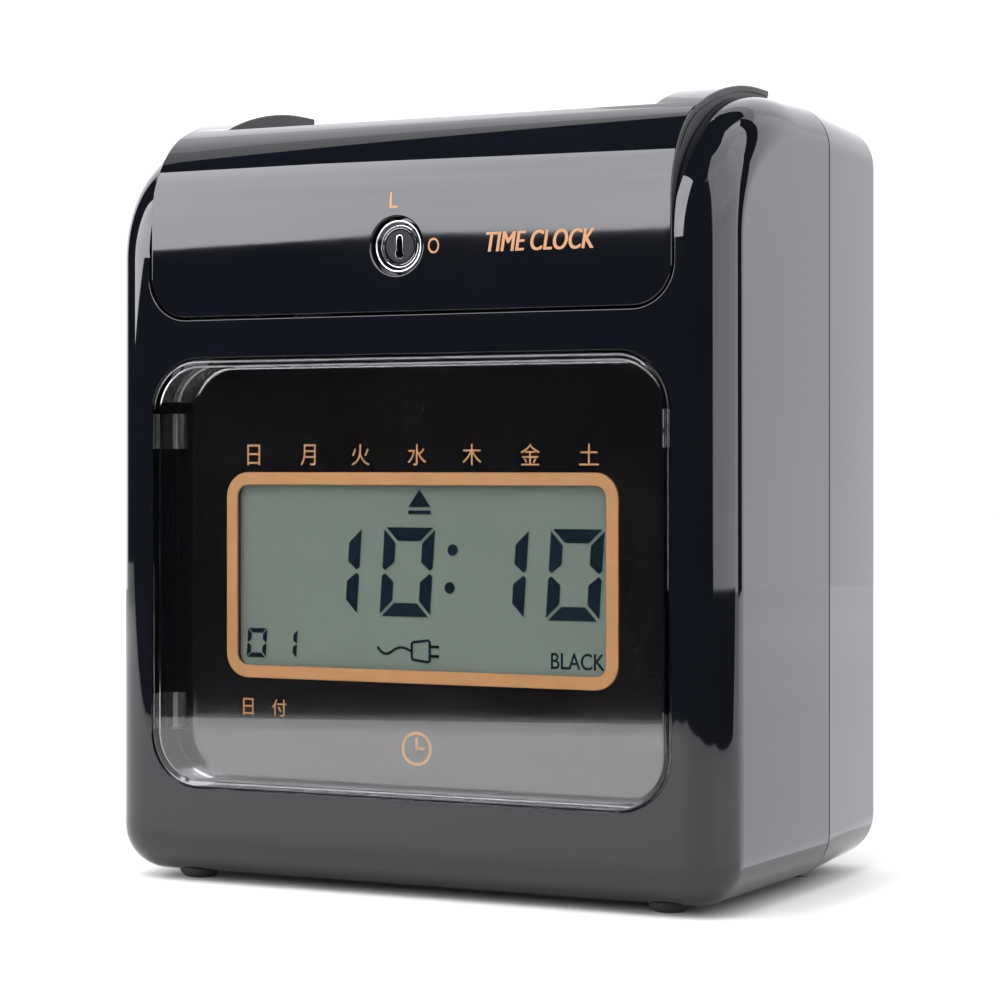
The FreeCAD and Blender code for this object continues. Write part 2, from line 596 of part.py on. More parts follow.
def make_lock():
    place = ("lock_x", "lock_z")
    head = rod("lock_rim", "y", "lock_head", ("lock_floor - 2.3", "lock_floor"), place)
    shank = rod("lock_barrel", "y", "lock_shank", ("lock_floor - 1", "lock_tail + 0.3"), place)
    bore = rod("lock_bore", "y", "plug_radius + plug_play", ("lock_floor - 4", "lock_tail + 1"), place)
    node(cut("lock_body", fuse("lock_blank", [head, shank]), [bore]), "lock_body")
    nut = hexagon("lock_nut_blank", "9", ("lock_floor + 2", "lock_floor + 5"), place)
    hole = rod("lock_nut_hole", "y", "lock_shank", ("lock_floor", "lock_floor + 8"), place)
    node(cut("lock_nut", nut, [hole]), "lock_nut")
    plug = rod("plug_blank", "y", "plug_radius", ("lock_floor - 2.2", "lock_tail + cam_thick"), place)
    slot = block("keyway", ("lock_x - 0.8", "lock_x + 0.8"), ("lock_floor - 3", "lock_floor + 4"),
                 ("lock_z - 2.6", "lock_z + 3"))
    ward = rod("keyway_foot", "y", "1.3", ("lock_floor - 3", "lock_floor + 4"), ("lock_x", "lock_z - 2"))
    node(cut("lock_plug", plug, [slot, ward]), "lock_plug")
    arm = block("cam_arm", ("lock_x - 4", "lock_x + 4"), ("lock_tail + 0.5", "lock_tail + cam_thick"),
                ("lock_z - cam_drop", "lock_z"))
    disc = rod("cam_disc", "y", "7", ("lock_tail + 0.5", "lock_tail + cam_thick"), place)
    hole = rod("cam_hole", "y", "plug_radius", ("lock_tail - 1", "lock_tail + cam_thick + 1"), place)
    cap = rod("cam_cap", "y", "plug_radius + 1", ("lock_tail + cam_thick", "lock_tail + cam_thick + 1.4"),
              place)
    node(fuse("lock_cam", [cut("cam_plate", fuse("cam_blank", [arm, disc]), [hole]), cap]), "lock_cam")


# Display -----------------------------------------------------------------------------------------


def make_display():
    back = "lens_face + lens_thick"
    outer = lens_plate("lens_block", "0", ("lens_face", "ledge_at - 0.2"))
    inner = lens_plate("lens_inside", "-lens_wall", (back, "ledge_at"))
    node(cut("display_lens", outer, [inner]), "display_lens")
    front = "ledge_at - panel_thick"
    panel = lens_plate("panel_block", "-(lens_wall + panel_gap)", (front, "ledge_at"))
    middle, height = "(frame_low + frame_high) / 2", "frame_high - frame_low"
    hole_size = ("2 * (frame_half - frame_band)", f"{height} - 2 * frame_band")
    hole = plate("panel_hole", "XZ_Plane", (f"{front} - 1", "ledge_at + 1"), hole_size,
                 "frame_corner - frame_band", ("0", middle))
    node(cut("display_panel", panel, [hole]), "display_panel")
    band = plate("bezel_block", "XZ_Plane", (f"{front} - frame_thick", front),
                 ("2 * frame_half", height), "frame_corner", ("0", middle))
    opening = plate("bezel_hole", "XZ_Plane", (f"{front} - 2", f"{front} + 1"), hole_size,
                    "frame_corner - frame_band", ("0", middle))
    node(cut("display_bezel", band, [opening]), "display_bezel")
    glass_back = "ledge_at + glass_thick"
    margin = "frame_half - frame_band + glass_margin"
    low = "frame_low + frame_band - glass_margin"
    high = "frame_high - frame_band + glass_margin"
    node(block("lcd_glass", (f"-({margin})", margin), ("ledge_at", glass_back), (low, high)), "lcd_glass")
    tray = block("tray_block", (f"-({margin} + 2)", f"{margin} + 2"),
                 ("ledge_at", f"{glass_back} + tray_thick"), (f"{low} - 2", f"{high} + 2"))
    pocket = block("tray_pocket", (f"-({margin})", margin), ("ledge_at - 1", glass_back), (low, high))
    node(cut("lcd_tray", tray, [pocket]), "lcd_tray")
    board_front = f"{glass_back} + tray_thick"
    board = block("board_block", ("-72", "72"), (board_front, f"{board_front} + board_thick"), ("33", "142"))
    holes = [rod(f"board_hole{side}{z}", "y", "1.7", ("ledge_at", "-30"), (f"{side} * 67", z))
             for side in (-1, 1) for z in ("38", "137")]
    node(cut("display_board", board, holes), "display_board")


# Card path and mechanism frame ------------------------------------------------------------------


def make_top_deck():
    low, high = "deck_top - deck_thick", "deck_top"
    inner = "arm_inner - 0.6"
    back = "hinge_y - 1.6"
    solids = [block("deck_middle", (f"-({inner})", inner), ("visor_end + 0.7", back), (low, high)),
              block("deck_wide", ("-(cover_half + 0.4)", "cover_half + 0.4"), ("visor_end + 10", back),
                    (low, high)),
              block("deck_front", (f"-({inner})", inner), ("visor_end + 0.7", "visor_end + 2.2"),
                    (low, "deck_top + 6")),
              block("deck_back", ("-(arm_inner - 2.6)", "arm_inner - 2.6"), (f"{back} - 2", back),
                    (low, "case_top - wall - 1")),
              block("slot_collar", ("-(card_half + 4)", "card_half + 4"),
                    ("chute_front - 4.5", "chute_back + 4.5"),
                    (low, "deck_top + 4"))]
    for side in (-1, 1):
        x = span(side, "arm_inner - 2.8", inner)
        solids.append(block(f"deck_rib{side}", x, ("visor_end + 0.7", back), (low, "deck_top + 6")))
    slot = block("card_slot", ("-card_half", "card_half"), ("chute_front", "chute_back"),
                 ("deck_top - 5", "deck_top + 9"))
    mouth = prism("card_mouth", "YZ_Plane", ("-(card_half + 2.4)", "card_half + 2.4"),
                  [("chute_front", "deck_top + 1"), ("chute_back", "deck_top + 1"),
                   ("chute_back + 3", "deck_top + 5"), ("chute_front - 3", "deck_top + 5")])
    node(cut("top_deck", fuse("deck_solid", solids), [slot, mouth]), "top_deck")


def make_card_guides():
    wide = ("-guide_half", "guide_half")
    top = "deck_top - deck_thick - 0.2"
    back = block("guide_back_plate", wide, ("chute_back", "chute_back + guide_thick"), ("guide_bottom", top))
    rails = [block(f"guide_rail{side}", span(side, "card_half", "card_half + 2.8"),
                   ("chute_front", "chute_back"), ("guide_bottom", top)) for side in (-1, 1)]
    stop = block("card_stop", ("-card_half", "card_half"), ("chute_front", "chute_back"),
                 ("guide_bottom", "guide_bottom + 2"))
    windows = [block("platen_window", ("-(print_half + 0.2)", "print_half + 0.2"),
                     ("chute_back - 1", "chute_back + 4"),
                     ("print_low - 3", "print_high + 3"))]
    for side in (-1, 1):
        x = (f"{side} * roller_x - roller_width / 2 - 1.5", f"{side} * roller_x + roller_width / 2 + 1.5")
        windows.append(block(f"feed_window{side}", x, ("chute_back - 1", "chute_back + 4"),
                             ("feed_z - 8.5", "feed_z + 8.5")))
    node(cut("card_guide_rear", fuse("guide_back_solid", [back, stop] + rails), windows), "card_guide_rear")
    front = block("guide_front_plate", wide, ("chute_front - guide_thick", "chute_front"),
                  ("guide_bottom", top))
    windows = [block("print_window", ("-(print_half + 0.2)", "print_half + 0.2"),
                     ("chute_front - 4", "chute_front + 1"),
                     ("print_low", "print_high"))]
    for side in (-1, 1):
        x = (f"{side} * roller_x - roller_width / 2 - 1.5", f"{side} * roller_x + roller_width / 2 + 1.5")
        windows.append(block(f"pinch_window{side}", x, ("chute_front - 4", "chute_front + 1"),
                             ("feed_z - 6.6", "feed_z + 6.6")))
    node(cut("card_guide_front", front, windows), "card_guide_front")
    inner = "plate_half - plate_thick"
    face = block("platen_face", ("-print_half", "print_half"), ("chute_back", "chute_back + 3"),
                 ("print_low - 2.7", "print_high + 2.7"))
    bar = block("platen_bar", (f"-({inner})", inner), ("chute_back + 1.8", "chute_back + 4.6"),
                ("print_low + 1", "print_high - 1"))
    node(fuse("platen", [face, bar]), "platen")
    node(block("card_sensor", ("-8", "8"), ("chute_back + guide_thick", "chute_back + 9"), ("54", "66")),
         "card_sensor")


def make_side_plate(side, name):
    inner, outer = "plate_half - plate_thick", "plate_half"
    x = span(side, inner, outer)
    wall = block(name + "_wall", x, ("plate_front", "plate_back"), ("plate_bottom", "deck_top - deck_thick"))
    lugs = []
    for tag, reach, z in (("low", "lug_low_x + 4", "lug_low_z"), ("high", "lug_high_x + 2.4", "lug_high_z")):
        lugs.append(block(f"{name}_{tag}", span(side, inner, reach),
                          ("plate_front", "plate_front + plate_thick"),
                          (f"{z} - 6", f"{z} + 6")))
    ends = span(side, "plate_half - 5", "plate_half + 5")
    holes = [rod(name + "_feed", "x", "feed_shaft_radius + 1.5", ends, ("feed_y", "feed_z")),
             rod(name + "_pinch", "x", "pinch_shaft_radius + 1.5", ends, ("pinch_y", "feed_z")),
             rod(name + "_rod", "x", "rod_radius", ends, ("rod_y", "rod_z")),
             block(name + "_light", ends, ("12", "28"), ("160", "190"))]
    for at, z in (("lug_low_x", "lug_low_z"), ("lug_high_x", "lug_high_z")):
        holes.append(rod(f"{name}_{at}", "y", "1.6", ("plate_front - 1", "plate_front + 4"),
                         (f"{side} * {at}", z)))
    node(cut(name, fuse(name + "_solid", [wall] + lugs), holes), name)


def make_mechanism_frame():
    make_side_plate(-1, "side_plate_left")
    make_side_plate(1, "side_plate_right")
    bushes = []
    for side in (-1, 1):
        for y, radius in (("feed_y", "feed_shaft_radius"), ("pinch_y", "pinch_shaft_radius")):
            name = f"bush{side}_{y[:4]}"
            body = rod(name + "_body", "x", f"{radius} + 1.5",
                       span(side, "plate_half - plate_thick - 0.8", "plate_half + 1.6"),
                       (y, "feed_z"))
            flange = rod(name + "_flange", "x", f"{radius} + 2.6",
                         span(side, "plate_half", "plate_half + 1.2"), (y, "feed_z"))
            bore = rod(name + "_bore", "x", f"{radius} + play",
                       span(side, "plate_half - 5", "plate_half + 5"), (y, "feed_z"))
            bushes.append(cut(name, fuse(name + "_blank", [body, flange]), [bore]))
    node(group("shaft_bushes", bushes), "shaft_bushes")
    screws = []
    for index, place in enumerate(lug_places()):
        head = rod(f"frame_head{index}", "y", "2.8", ("plate_front + plate_thick",
                                                      "plate_front + plate_thick + 2"), place)
        shank = rod(f"frame_shank{index}", "y", "1.2", ("plate_front - 5", "plate_front + plate_thick + 1"),
                    place)
        slot = block(f"frame_slot{index}", (f"{place[0]} - 2.2", f"{place[0]} + 2.2"),
                     ("plate_front + plate_thick + 1.2", "plate_front + 5"),
                     (f"{place[1]} - 0.4", f"{place[1]} + 0.4"))
        screws.append(cut(f"frame_screw{index}", fuse(f"frame_blank{index}", [head, shank]), [slot]))
    node(group("frame_screws", screws), "frame_screws")
    inner = "plate_half - plate_thick"
    top = "bay_floor + bay_floor_thick"
    floor = block("floor_plate", (f"-({inner})", inner), ("-46.5", "-12"), ("bay_floor", top))
    posts = [rod("idler_post", "z", "2", ("bay_floor", "belt_low + belt_width + 2"),
                 ("-pulley_x", "pulley_y"))]
    for side in (-1, 1):
        place = (f"{side} * post_x", "post_y")
        posts.append(rod(f"carrier_post{side}", "z", "post_radius", ("bay_floor", "cassette_high"), place))
        posts.append(rod(f"post_collar{side}", "z", "post_radius + 1.2", (top, "tray_low - 0.2"), place))
    hole = rod("motor_shaft_hole", "z", "2.2", ("bay_floor - 1", f"{top} + 1"), ("pulley_x", "pulley_y"))
    node(cut("bay_floor_plate", fuse("bay_floor_solid", [floor] + posts), [hole]), "bay_floor_plate")


# Card feed --------------------------------------------------------------------------------------


def gear(name, teeth, bore, ends, centre, turn):
    """A spur gear on an axle along x, with one tooth at angle turn from +Y towards +Z."""
    body = doc.addObject("PartDesign::Body", name)
    pitch, size = f"{teeth} * gear_module / 2", "gear_module"
    root = f"{pitch} - 1.25 * {size}"
    disc = sketch_on(body, "YZ_Plane", ends[0])
    for index, (label, radius) in enumerate((("rim", root), ("bore", bore))):
        disc.addGeometry(Part.Circle(Vector(0, 0, 0), Vector(0, 0, 1), worth(radius)), False)
        disc.addConstraint(Sketcher.Constraint("Coincident", index, 3, -1, 1))
        constrain(disc, label, ("Radius", index), radius)
    pad(body, disc, f"({ends[1]}) - ({ends[0]})")
    doc.recompute()
    flank = sketch_on(body, "YZ_Plane", ends[0])
    wide, thin = f"0.95 * {size}", f"0.34 * {size}"
    draw_outline(flank, [(f"{root} - 0.3", f"-({wide})"), (root, f"-({wide})"),
                         (f"{pitch} + {size}", f"-({thin})"),
                         (f"{pitch} + {size}", thin), (root, wide), (f"{root} - 0.3", wide)])
    tooth = pad(body, flank, f"({ends[1]}) - ({ends[0]})")
    doc.recompute()
    ring = body.newObject("PartDesign::PolarPattern", name + "_teeth")
    ring.Originals = [tooth]
    axis = next(item for item in body.Origin.OriginFeatures if item.Role == "X_Axis")
    ring.Axis = (axis, [""])
    ring.Angle = 360
    bind(ring, "Occurrences", teeth)
    body.Tip = ring
    body.Placement.Rotation = Rotation(Vector(1, 0, 0), turn)
    bind(body, "Placement.Base.y", centre[0])
    bind(body, "Placement.Base.z", centre[1])
    return body


def make_card_feed():
    shaft = ("-(plate_half + 2.4)", "plate_half + 2.4")
    node(rod("feed_shaft", "x", "feed_shaft_radius", shaft, ("feed_y", "feed_z")), "feed_shaft")
    node(rod("pinch_shaft", "x", "pinch_shaft_radius", shaft, ("pinch_y", "feed_z")), "pinch_shaft")
    for name, radius, bore, y in (("feed_rollers", "feed_radius", "feed_shaft_radius", "feed_y"),
                                  ("pinch_rollers", "pinch_radius", "pinch_shaft_radius", "pinch_y")):
        tyres = []
        for side in (-1, 1):
            x = (f"{side} * roller_x - roller_width / 2", f"{side} * roller_x + roller_width / 2")
            tyre = rod(f"{name}_tyre{side}", "x", radius, x, (y, "feed_z"))
            hole = rod(f"{name}_hole{side}", "x", bore, ("-50", "50"), (y, "feed_z"))
            tyres.append(cut(f"{name}_ring{side}", tyre, [hole]))
        node(group(name, tyres), name)
    turn = worth("motor_turn")
    ends = ("gear_low", "gear_low + gear_width")
    node(gear("feed_gear", "feed_teeth", "feed_shaft_radius", ends, ("feed_y", "feed_z"), -turn), "feed_gear")
    reach = "(gear_module * (feed_teeth + pinion_teeth) / 2 + 0.1)"
    motor_y, motor_z = f"feed_y + {reach} * cos(motor_turn)", f"feed_z - {reach} * sin(motor_turn)"
    half_pitch = 180 / worth("pinion_teeth")
    teeth = gear("pinion_teeth_ring", "pinion_teeth", "1.5", ends, (motor_y, motor_z),
                 180 - turn + half_pitch)
    spindle = rod("pinion_spindle", "x", "1.5", ("gear_low - 4", "gear_low + gear_width + 1"),
                  (motor_y, motor_z))
    node(fuse("motor_pinion", [teeth, spindle]), "motor_pinion")
    can = rod("feed_can", "x", "motor_radius", ("gear_low - 1 - motor_length", "gear_low - 1"),
              (motor_y, motor_z))
    cap = rod("feed_cap", "x", "motor_radius - 2", ("gear_low - 3 - motor_length",
                                                    "gear_low - motor_length"), (motor_y, motor_z))
    flange = block("feed_flange", ("gear_low - 2.4", "gear_low - 0.8"), (f"{motor_y} - 8", f"{motor_y} + 13"),
                   (f"{motor_z} - 17", f"{motor_z} + 8"))
    stays = [rod(f"feed_stay{index}", "x", "2", ("gear_low - 1.5", "plate_half - plate_thick"), place)
             for index, place in enumerate(((f"{motor_y} + 10.5", f"{motor_z} + 3"),
                                            (f"{motor_y} + 2", f"{motor_z} - 14.5")))]
    bore = rod("feed_motor_bore", "x", "1.5 + play", ("gear_low - 8", "gear_low"), (motor_y, motor_z))
    node(cut("feed_motor", fuse("feed_motor_solid", [can, cap, flange] + stays), [bore]), "feed_motor")


# Print carriage and ribbon ----------------------------------------------------------------------


def make_print_carriage():
    node(rod("guide_rod", "x", "rod_radius", ("-(plate_half + 1)", "plate_half + 1"), ("rod_y", "rod_z")),
         "guide_rod")
    low, high = "belt_low", "belt_low + belt_width"
    run = "pulley_y - pulley_radius - 0.25 - belt_thick"
    solids = [block("carriage_block", ("-13", "13"), ("rod_y - 8", "rod_y + 6"),
                    ("rod_z - 4.6", "rod_z + 5")),
              block("belt_clamp", ("-5", "5"), (f"{run} - 2.4", "rod_y - 6"),
                    ("bay_floor + 2.3", "rod_z - 3")),
              block("carriage_foot", ("-10", "10"), ("rod_y + 4.6", "rod_y + 8"),
                    ("bay_floor + 1.8", "rod_z - 2"))]
    bores = [rod("carriage_bore", "x", "rod_radius + play", ("-20", "20"), ("rod_y", "rod_z")),
             block("belt_way", ("-6", "6"), (f"{run} - 0.4", f"{run} + belt_thick + 0.4"),
                   ("bay_floor", f"{high} + 0.4"))]
    node(cut("print_carriage", fuse("carriage_solid", solids), bores), "print_carriage")
    head = ("0", "rod_z + 13")
    solids = [rod("head_core", "y", "5.6", ("rod_y - 8", "rod_y + 10"), head),
              block("head_seat", ("-9", "9"), ("rod_y - 6", "rod_y + 5"), ("rod_z + 5", "rod_z + 9"))]
    for index in range(6):
        y = f"rod_y - 8 + {2.8 * index}"
        solids.append(rod(f"head_fin{index}", "y", "8", (y, f"{y} + 1.5"), head))
    nose = doc.addObject("Part::Cone", "head_nose")
    nose.Placement.Rotation = TURN_TO["y"]
    bind(nose, "Radius1", "6.4")
    bind(nose, "Radius2", "3.6")
    bind(nose, "Height", "6")
    bind(nose, "Placement.Base.y", "rod_y + 9")
    bind(nose, "Placement.Base.z", head[1])
    node(fuse("print_head", solids + [nose]), "print_head")
    loops = []
    for tag, grow, ends in (("outer", "pulley_radius + 0.25 + belt_thick", (low, high)),
                            ("inner", "pulley_radius + 0.25", (f"{low} - 1", f"{high} + 1"))):
        size = (f"2 * (pulley_x + {grow})", f"2 * ({grow})")
        loops.append(plate(f"belt_{tag}", "XY_Plane", ends, size, f"{grow} - 0.02", ("0", "pulley_y")))
    node(cut("carriage_belt", loops[0], [loops[1]]), "carriage_belt")
    for name, x, bore in (("drive_pulley", "pulley_x", None), ("idler_pulley", "-pulley_x", "2 + play")):
        place = (x, "pulley_y")
        solids = [rod(name + "_hub", "z", "pulley_radius", (f"{low} - 1.1", f"{high} + 1.1"), place),
                  rod(name + "_lower", "z", "pulley_radius + 1.3", (f"{low} - 1.1", f"{low} - 0.3"), place),
                  rod(name + "_upper", "z", "pulley_radius + 1.3", (f"{high} + 0.3", f"{high} + 1.1"), place)]
        if bore is None:
            solids.append(rod(name + "_shaft", "z", "1.5", ("bay_floor - 4", f"{low}"), place))
            node(fuse(name, solids), name)
        else:
            hole = rod(name + "_bore", "z", bore, (f"{low} - 3", f"{high} + 3"), place)
            node(cut(name, fuse(name + "_blank", solids), [hole]), name)
    can = rod("carriage_can", "z", "9", ("bay_floor - 18.5", "bay_floor"), ("pulley_x", "pulley_y"))
    bore = rod("carriage_can_bore", "z", "1.5 + play", ("bay_floor - 5", "bay_floor + 1"),
               ("pulley_x", "pulley_y"))
    node(cut("carriage_motor", can, [bore]), "carriage_motor")


def make_ribbon():
    low, high = "cassette_low", "cassette_high"
    y = ("cassette_front", "cassette_back")
    tray = block("carrier_plate", ("-58", "58"), y, ("tray_low", "tray_low + 1.5"))
    clips = [block(f"carrier_clip{side}", span(side, "52.3", "53.8"),
                   ("cassette_back - 7", "cassette_back - 1"),
                   ("tray_low", f"{high} - 2")) for side in (-1, 1)]
    holes = [rod(f"carrier_hole{side}", "z", "post_radius + play", ("tray_low - 3", "tray_low + 5"),
                 (f"{side} * post_x", "post_y")) for side in (-1, 1)]
    node(cut("cassette_carrier", fuse("carrier_solid", [tray] + clips), holes), "cassette_carrier")
    solids = [plate("cassette_box", "XY_Plane", (low, high), ("104", "cassette_back - cassette_front"), "3",
                    ("0", "(cassette_front + cassette_back) / 2"))]
    for side in (-1, 1):
        x = span(side, "print_half + 0.7", "52")
        solids.append(block(f"cassette_arm{side}", x, ("cassette_back - 4", "ribbon_y + 0.7"),
                            (f"{low} + 0.3", high)))
        solids.append(block(f"cassette_finger{side}", x, ("cassette_back + 0.4", "ribbon_y + 0.7"),
                            ("176", high)))
    knob = ("knob_x", "knob_y")
    pockets = [rod("knob_pocket", "z", "5.4", (f"{high} - 3.2", f"{high} + 1"), knob),
               rod("knob_bearing", "z", "1.5 + play", (f"{low} - 1", high), knob)]
    node(cut("ribbon_cassette", fuse("cassette_solid", solids), pockets), "ribbon_cassette")
    span_x = ("-(print_half + 0.7)", "print_half + 0.7")
    node(block("ink_ribbon", span_x, ("ribbon_y - 0.1", "ribbon_y + 0.1"), ("177", "187")), "ink_ribbon")
    solids = [rod("knob_head", "z", "5", (f"{high} - 3", f"{high} + 1.1"), knob),
              rod("knob_stem", "z", "1.5", (f"{low} + 1", high), knob)]
    notches = [rod(f"knob_notch{index}", "z", "0.9", (f"{high} - 4", f"{high} + 2"),
                   (f"knob_x + 5.4 * cos({30 * index})",
                    f"knob_y + 5.4 * sin({30 * index})")) for index in range(12)]
    node(cut("ribbon_knob", fuse("knob_blank", solids), notches), "ribbon_knob")
    at = ("-36", "-43")
    box = block("solenoid_box", ("-42", "-30"), ("-46.5", "-39.5"), ("bay_floor + bay_floor_thick", "176"))
    bore = rod("solenoid_bore", "z", "2 + play", ("165", "180"), at)
    node(cut("shift_solenoid", box, [bore]), "shift_solenoid")
    node(rod("solenoid_plunger", "z", "2", ("168", "tray_low"), at), "solenoid_plunger")


# Setting keys and electronics -------------------------------------------------------------------

KEYS = ("date_key", "hour_key", "minute_key", "enter_key")


def make_keys():
    front, back = "key_plate_front", "key_plate_front + key_plate_thick"
    face = block("key_face", ("key_panel_low", "key_panel_high"), (front, back),
                 ("bay_floor + bay_floor_thick + 1.5", "182"))
    flange = block("key_flange", ("key_panel_low", "key_panel_high"), (front, "-46"),
                   ("bay_floor + bay_floor_thick", "bay_floor + bay_floor_thick + 1.5"))
    holes = []
    for index, name in enumerate(KEYS):
        middle = f"key_first_x + {index} * key_pitch"
        half = "key_width / 2"
        holes.append(block(f"{name}_hole", (f"{middle} - {half} - key_gap", f"{middle} + {half} + key_gap"),
                           (f"{front} - 1", f"{back} + 1"), ("key_low - key_gap", "key_high + key_gap")))
        cap = plate(f"{name}_cap", "XZ_Plane", (f"{front} - key_proud", f"{back} + 0.4"),
                    ("key_width", "key_high - key_low"), "1.2", (middle, "(key_low + key_high) / 2"))
        rim = block(f"{name}_rim", (f"{middle} - 4.8", f"{middle} + 4.8"), (f"{back} + 0.3", f"{back} + 1.3"),
                    ("key_low - 1.2", "key_high + 1.2"))
        node(fuse(name, [cap, rim]), name)
    node(cut("key_panel", fuse("key_panel_solid", [face, flange]), holes), "key_panel")
    node(block("key_mat", ("key_panel_low + 1", "key_panel_high - 0.5"), (f"{back} + 2.6", f"{back} + 3.6"),
               ("161", "181")), "key_mat")
    node(block("key_board", ("key_panel_low + 1", "key_panel_high - 0.5"), (f"{back} + 3.6", f"{back} + 5"),
               ("161", "181")), "key_board")


def make_electronics():
    board = block("board_plate", ("-board_half", "board_half"), ("board_y", "board_y + board_thick"),
                  ("board_low", "board_high"))
    holes = [rod(f"main_hole{side}{index}", "y", "1.6", ("board_y - 2", "board_y + 4"),
                 (f"{side} * (board_half - 6)", z))
             for side in (-1, 1) for index, z in enumerate(("board_low + 6", "board_high - 6"))]
    node(cut("main_board", board, holes), "main_board")
    chips = (("processor", -30, -12, 92, 106, 2), ("driver", 0, 12, 92, 102, 2),
             ("memory", -52, -42, 96, 104, 2),
             ("regulator", 38, 48, 70, 80, 4), ("display_socket", 40, 56, 88, 94, 7),
             ("power_socket", 50, 58, 66, 74, 8),
             ("motor_socket", -20, 4, 120, 126, 7))
    pieces = [block(name, (low, high), (f"board_y - {tall}", "board_y"), (bottom, top))
              for name, low, high, bottom, top, tall in chips]
    for index in range(3):
        pieces.append(rod(f"capacitor{index}", "y", "4", ("board_y - 11", "board_y"),
                          (f"{6 + 10 * index}", "74")))
    node(group("board_components", pieces), "board_components")
    cells = [rod(f"cell{index}", "x", "5.6", ("-50", "-22"),
                 ("board_y - 6", f"{70 + 11.5 * index}")) for index in range(2)]
    node(group("backup_battery", cells), "backup_battery")
    node(rod("buzzer", "y", "6", ("board_y - 8", "board_y"), ("-36", "126")), "buzzer")
    thick = "0.6"
    path = [("ledge_at + 8.8", "70"), ("-34", "70"), ("-27", "52"), ("30", "52"), ("36", "70"),
            ("board_y", "70")]
    upper = [(y, f"{z} + {thick}") for y, z in reversed(path)]
    node(prism("flat_cable", "YZ_Plane", ("59.5", "69.5"), path + upper), "flat_cable")


def check_and_export():
    doc.recompute()
    failed = [item.Name for item in doc.Objects if {"Invalid", "Error"} & set(item.State)]
    if failed:
        raise RuntimeError(f"not built: {failed}")
    os.makedirs("parts", exist_ok=True)
    for item in nodes:
        if item.Shape.isNull() or not item.Shape.isValid():
            raise RuntimeError(f"{item.Label} has no valid shape")
    for item in nodes:
        item.Shape.exportStep(f"parts/{item.Label}.step")
        solids = len(item.Shape.Solids)
        print(f"{item.Label}: {solids} solid{'s' if solids > 1 else ''}, {item.Shape.Volume:.0f} mm3")
    print(len(nodes), "nodes")


make_front_housing()
make_rear_housing()
make_small_case_pieces()
make_upper_cover()
make_lock()
make_display()
make_top_deck()
make_card_guides()
make_mechanism_frame()
make_card_feed()
make_print_carriage()
make_ribbon()
make_keys()
make_electronics()
check_and_export()
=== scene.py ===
"""Looks of the punch time clock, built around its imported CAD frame.

Shapes are drawn in millimetres and become metres when a piece is placed on its body."""

import bpy
import bmesh
import json
import math
from mathutils import Matrix, Vector


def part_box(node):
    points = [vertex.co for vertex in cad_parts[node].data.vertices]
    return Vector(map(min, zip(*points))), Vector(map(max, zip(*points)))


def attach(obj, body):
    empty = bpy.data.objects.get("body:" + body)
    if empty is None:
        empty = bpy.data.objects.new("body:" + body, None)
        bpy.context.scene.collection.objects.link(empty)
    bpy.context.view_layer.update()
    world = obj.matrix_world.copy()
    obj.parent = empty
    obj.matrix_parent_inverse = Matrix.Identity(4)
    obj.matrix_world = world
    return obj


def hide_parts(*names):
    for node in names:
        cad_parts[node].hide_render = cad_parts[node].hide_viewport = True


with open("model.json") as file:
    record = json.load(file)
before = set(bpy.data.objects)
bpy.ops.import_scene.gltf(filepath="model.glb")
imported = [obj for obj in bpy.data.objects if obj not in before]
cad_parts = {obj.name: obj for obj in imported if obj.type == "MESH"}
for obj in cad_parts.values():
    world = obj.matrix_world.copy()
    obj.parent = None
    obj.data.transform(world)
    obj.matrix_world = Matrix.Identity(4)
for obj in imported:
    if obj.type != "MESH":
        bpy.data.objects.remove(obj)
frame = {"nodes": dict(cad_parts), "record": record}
bpy.context.view_layer.update()

MM = 0.001
SLOT_OF = {part["node"]: part["material_slot"] for part in frame["record"]["subparts"]}


def box(node):
    """A CAD node's lowest and highest corner, in millimetres."""
    low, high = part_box(node)
    return low / MM, high / MM


LENS_LOW, LENS_HIGH = box("display_lens")
FRAME_LOW, FRAME_HIGH = box("display_bezel")
LOCK_LOW, LOCK_HIGH = box("lock_body")
PLUG_LOW, PLUG_HIGH = box("lock_plug")
GLASS_FACE, PANEL_FACE = box("lcd_glass")[0].y, box("display_panel")[0].y

# Shape facts that the boxes do not give, the same as in the part's source.
# The case: its faces, the seam between its halves, walls, edge radii and drafts
FRONT, REAR, CASE_HALF = -61.0, 61.0, 96.8
BOTTOM, TOP = 2.2, 219.9
SEAM, SEAM_GAP, WALL, RIB, EDGE, REAR_EDGE = 12.8, 0.4, 2.5, 1.5, 13.0, 8.0
FRONT_DRAFT, REAR_DRAFT = math.tan(math.radians(1.15)), math.tan(math.radians(2.0))
# The curves of the shoulder and of the cover's brow, as the function brow takes them
SHOULDER = (FRONT, 177.35, 35.5, 50.0, 64.1)
BROW = (FRONT, 187.5, 29.0, 66.0, 110.0)
# The cover, its arms, and the groove along the arms' sides
COVER_HALF, COVER_BOTTOM, COVER_CORNER, COVER_WALL = 80.5, 160.0, 11.5, 2.4
COVER_GAP, COVER_DEPTH = 0.7, 9.0
ARM_INNER, ARM_END, VISOR_END = 67.0, 7.9, -41.0
GROOVE = (1.6, 2.1)
MATTE_ABOVE = 190.0
# The hinge: the case's bosses and the cover's knuckle lie side by side on one pin
HINGE_Y, HINGE_Z, KNUCKLE = 9.6, 217.8, 1.9
BOSS_SPANS, KNUCKLE_SPAN = ((66.0, 70.1), (77.4, 82.0)), (70.5, 77.0)
PIN_SPAN, PIN_RADIUS, HINGE_ROOM = (69.0, 78.5), 0.85, 2.4
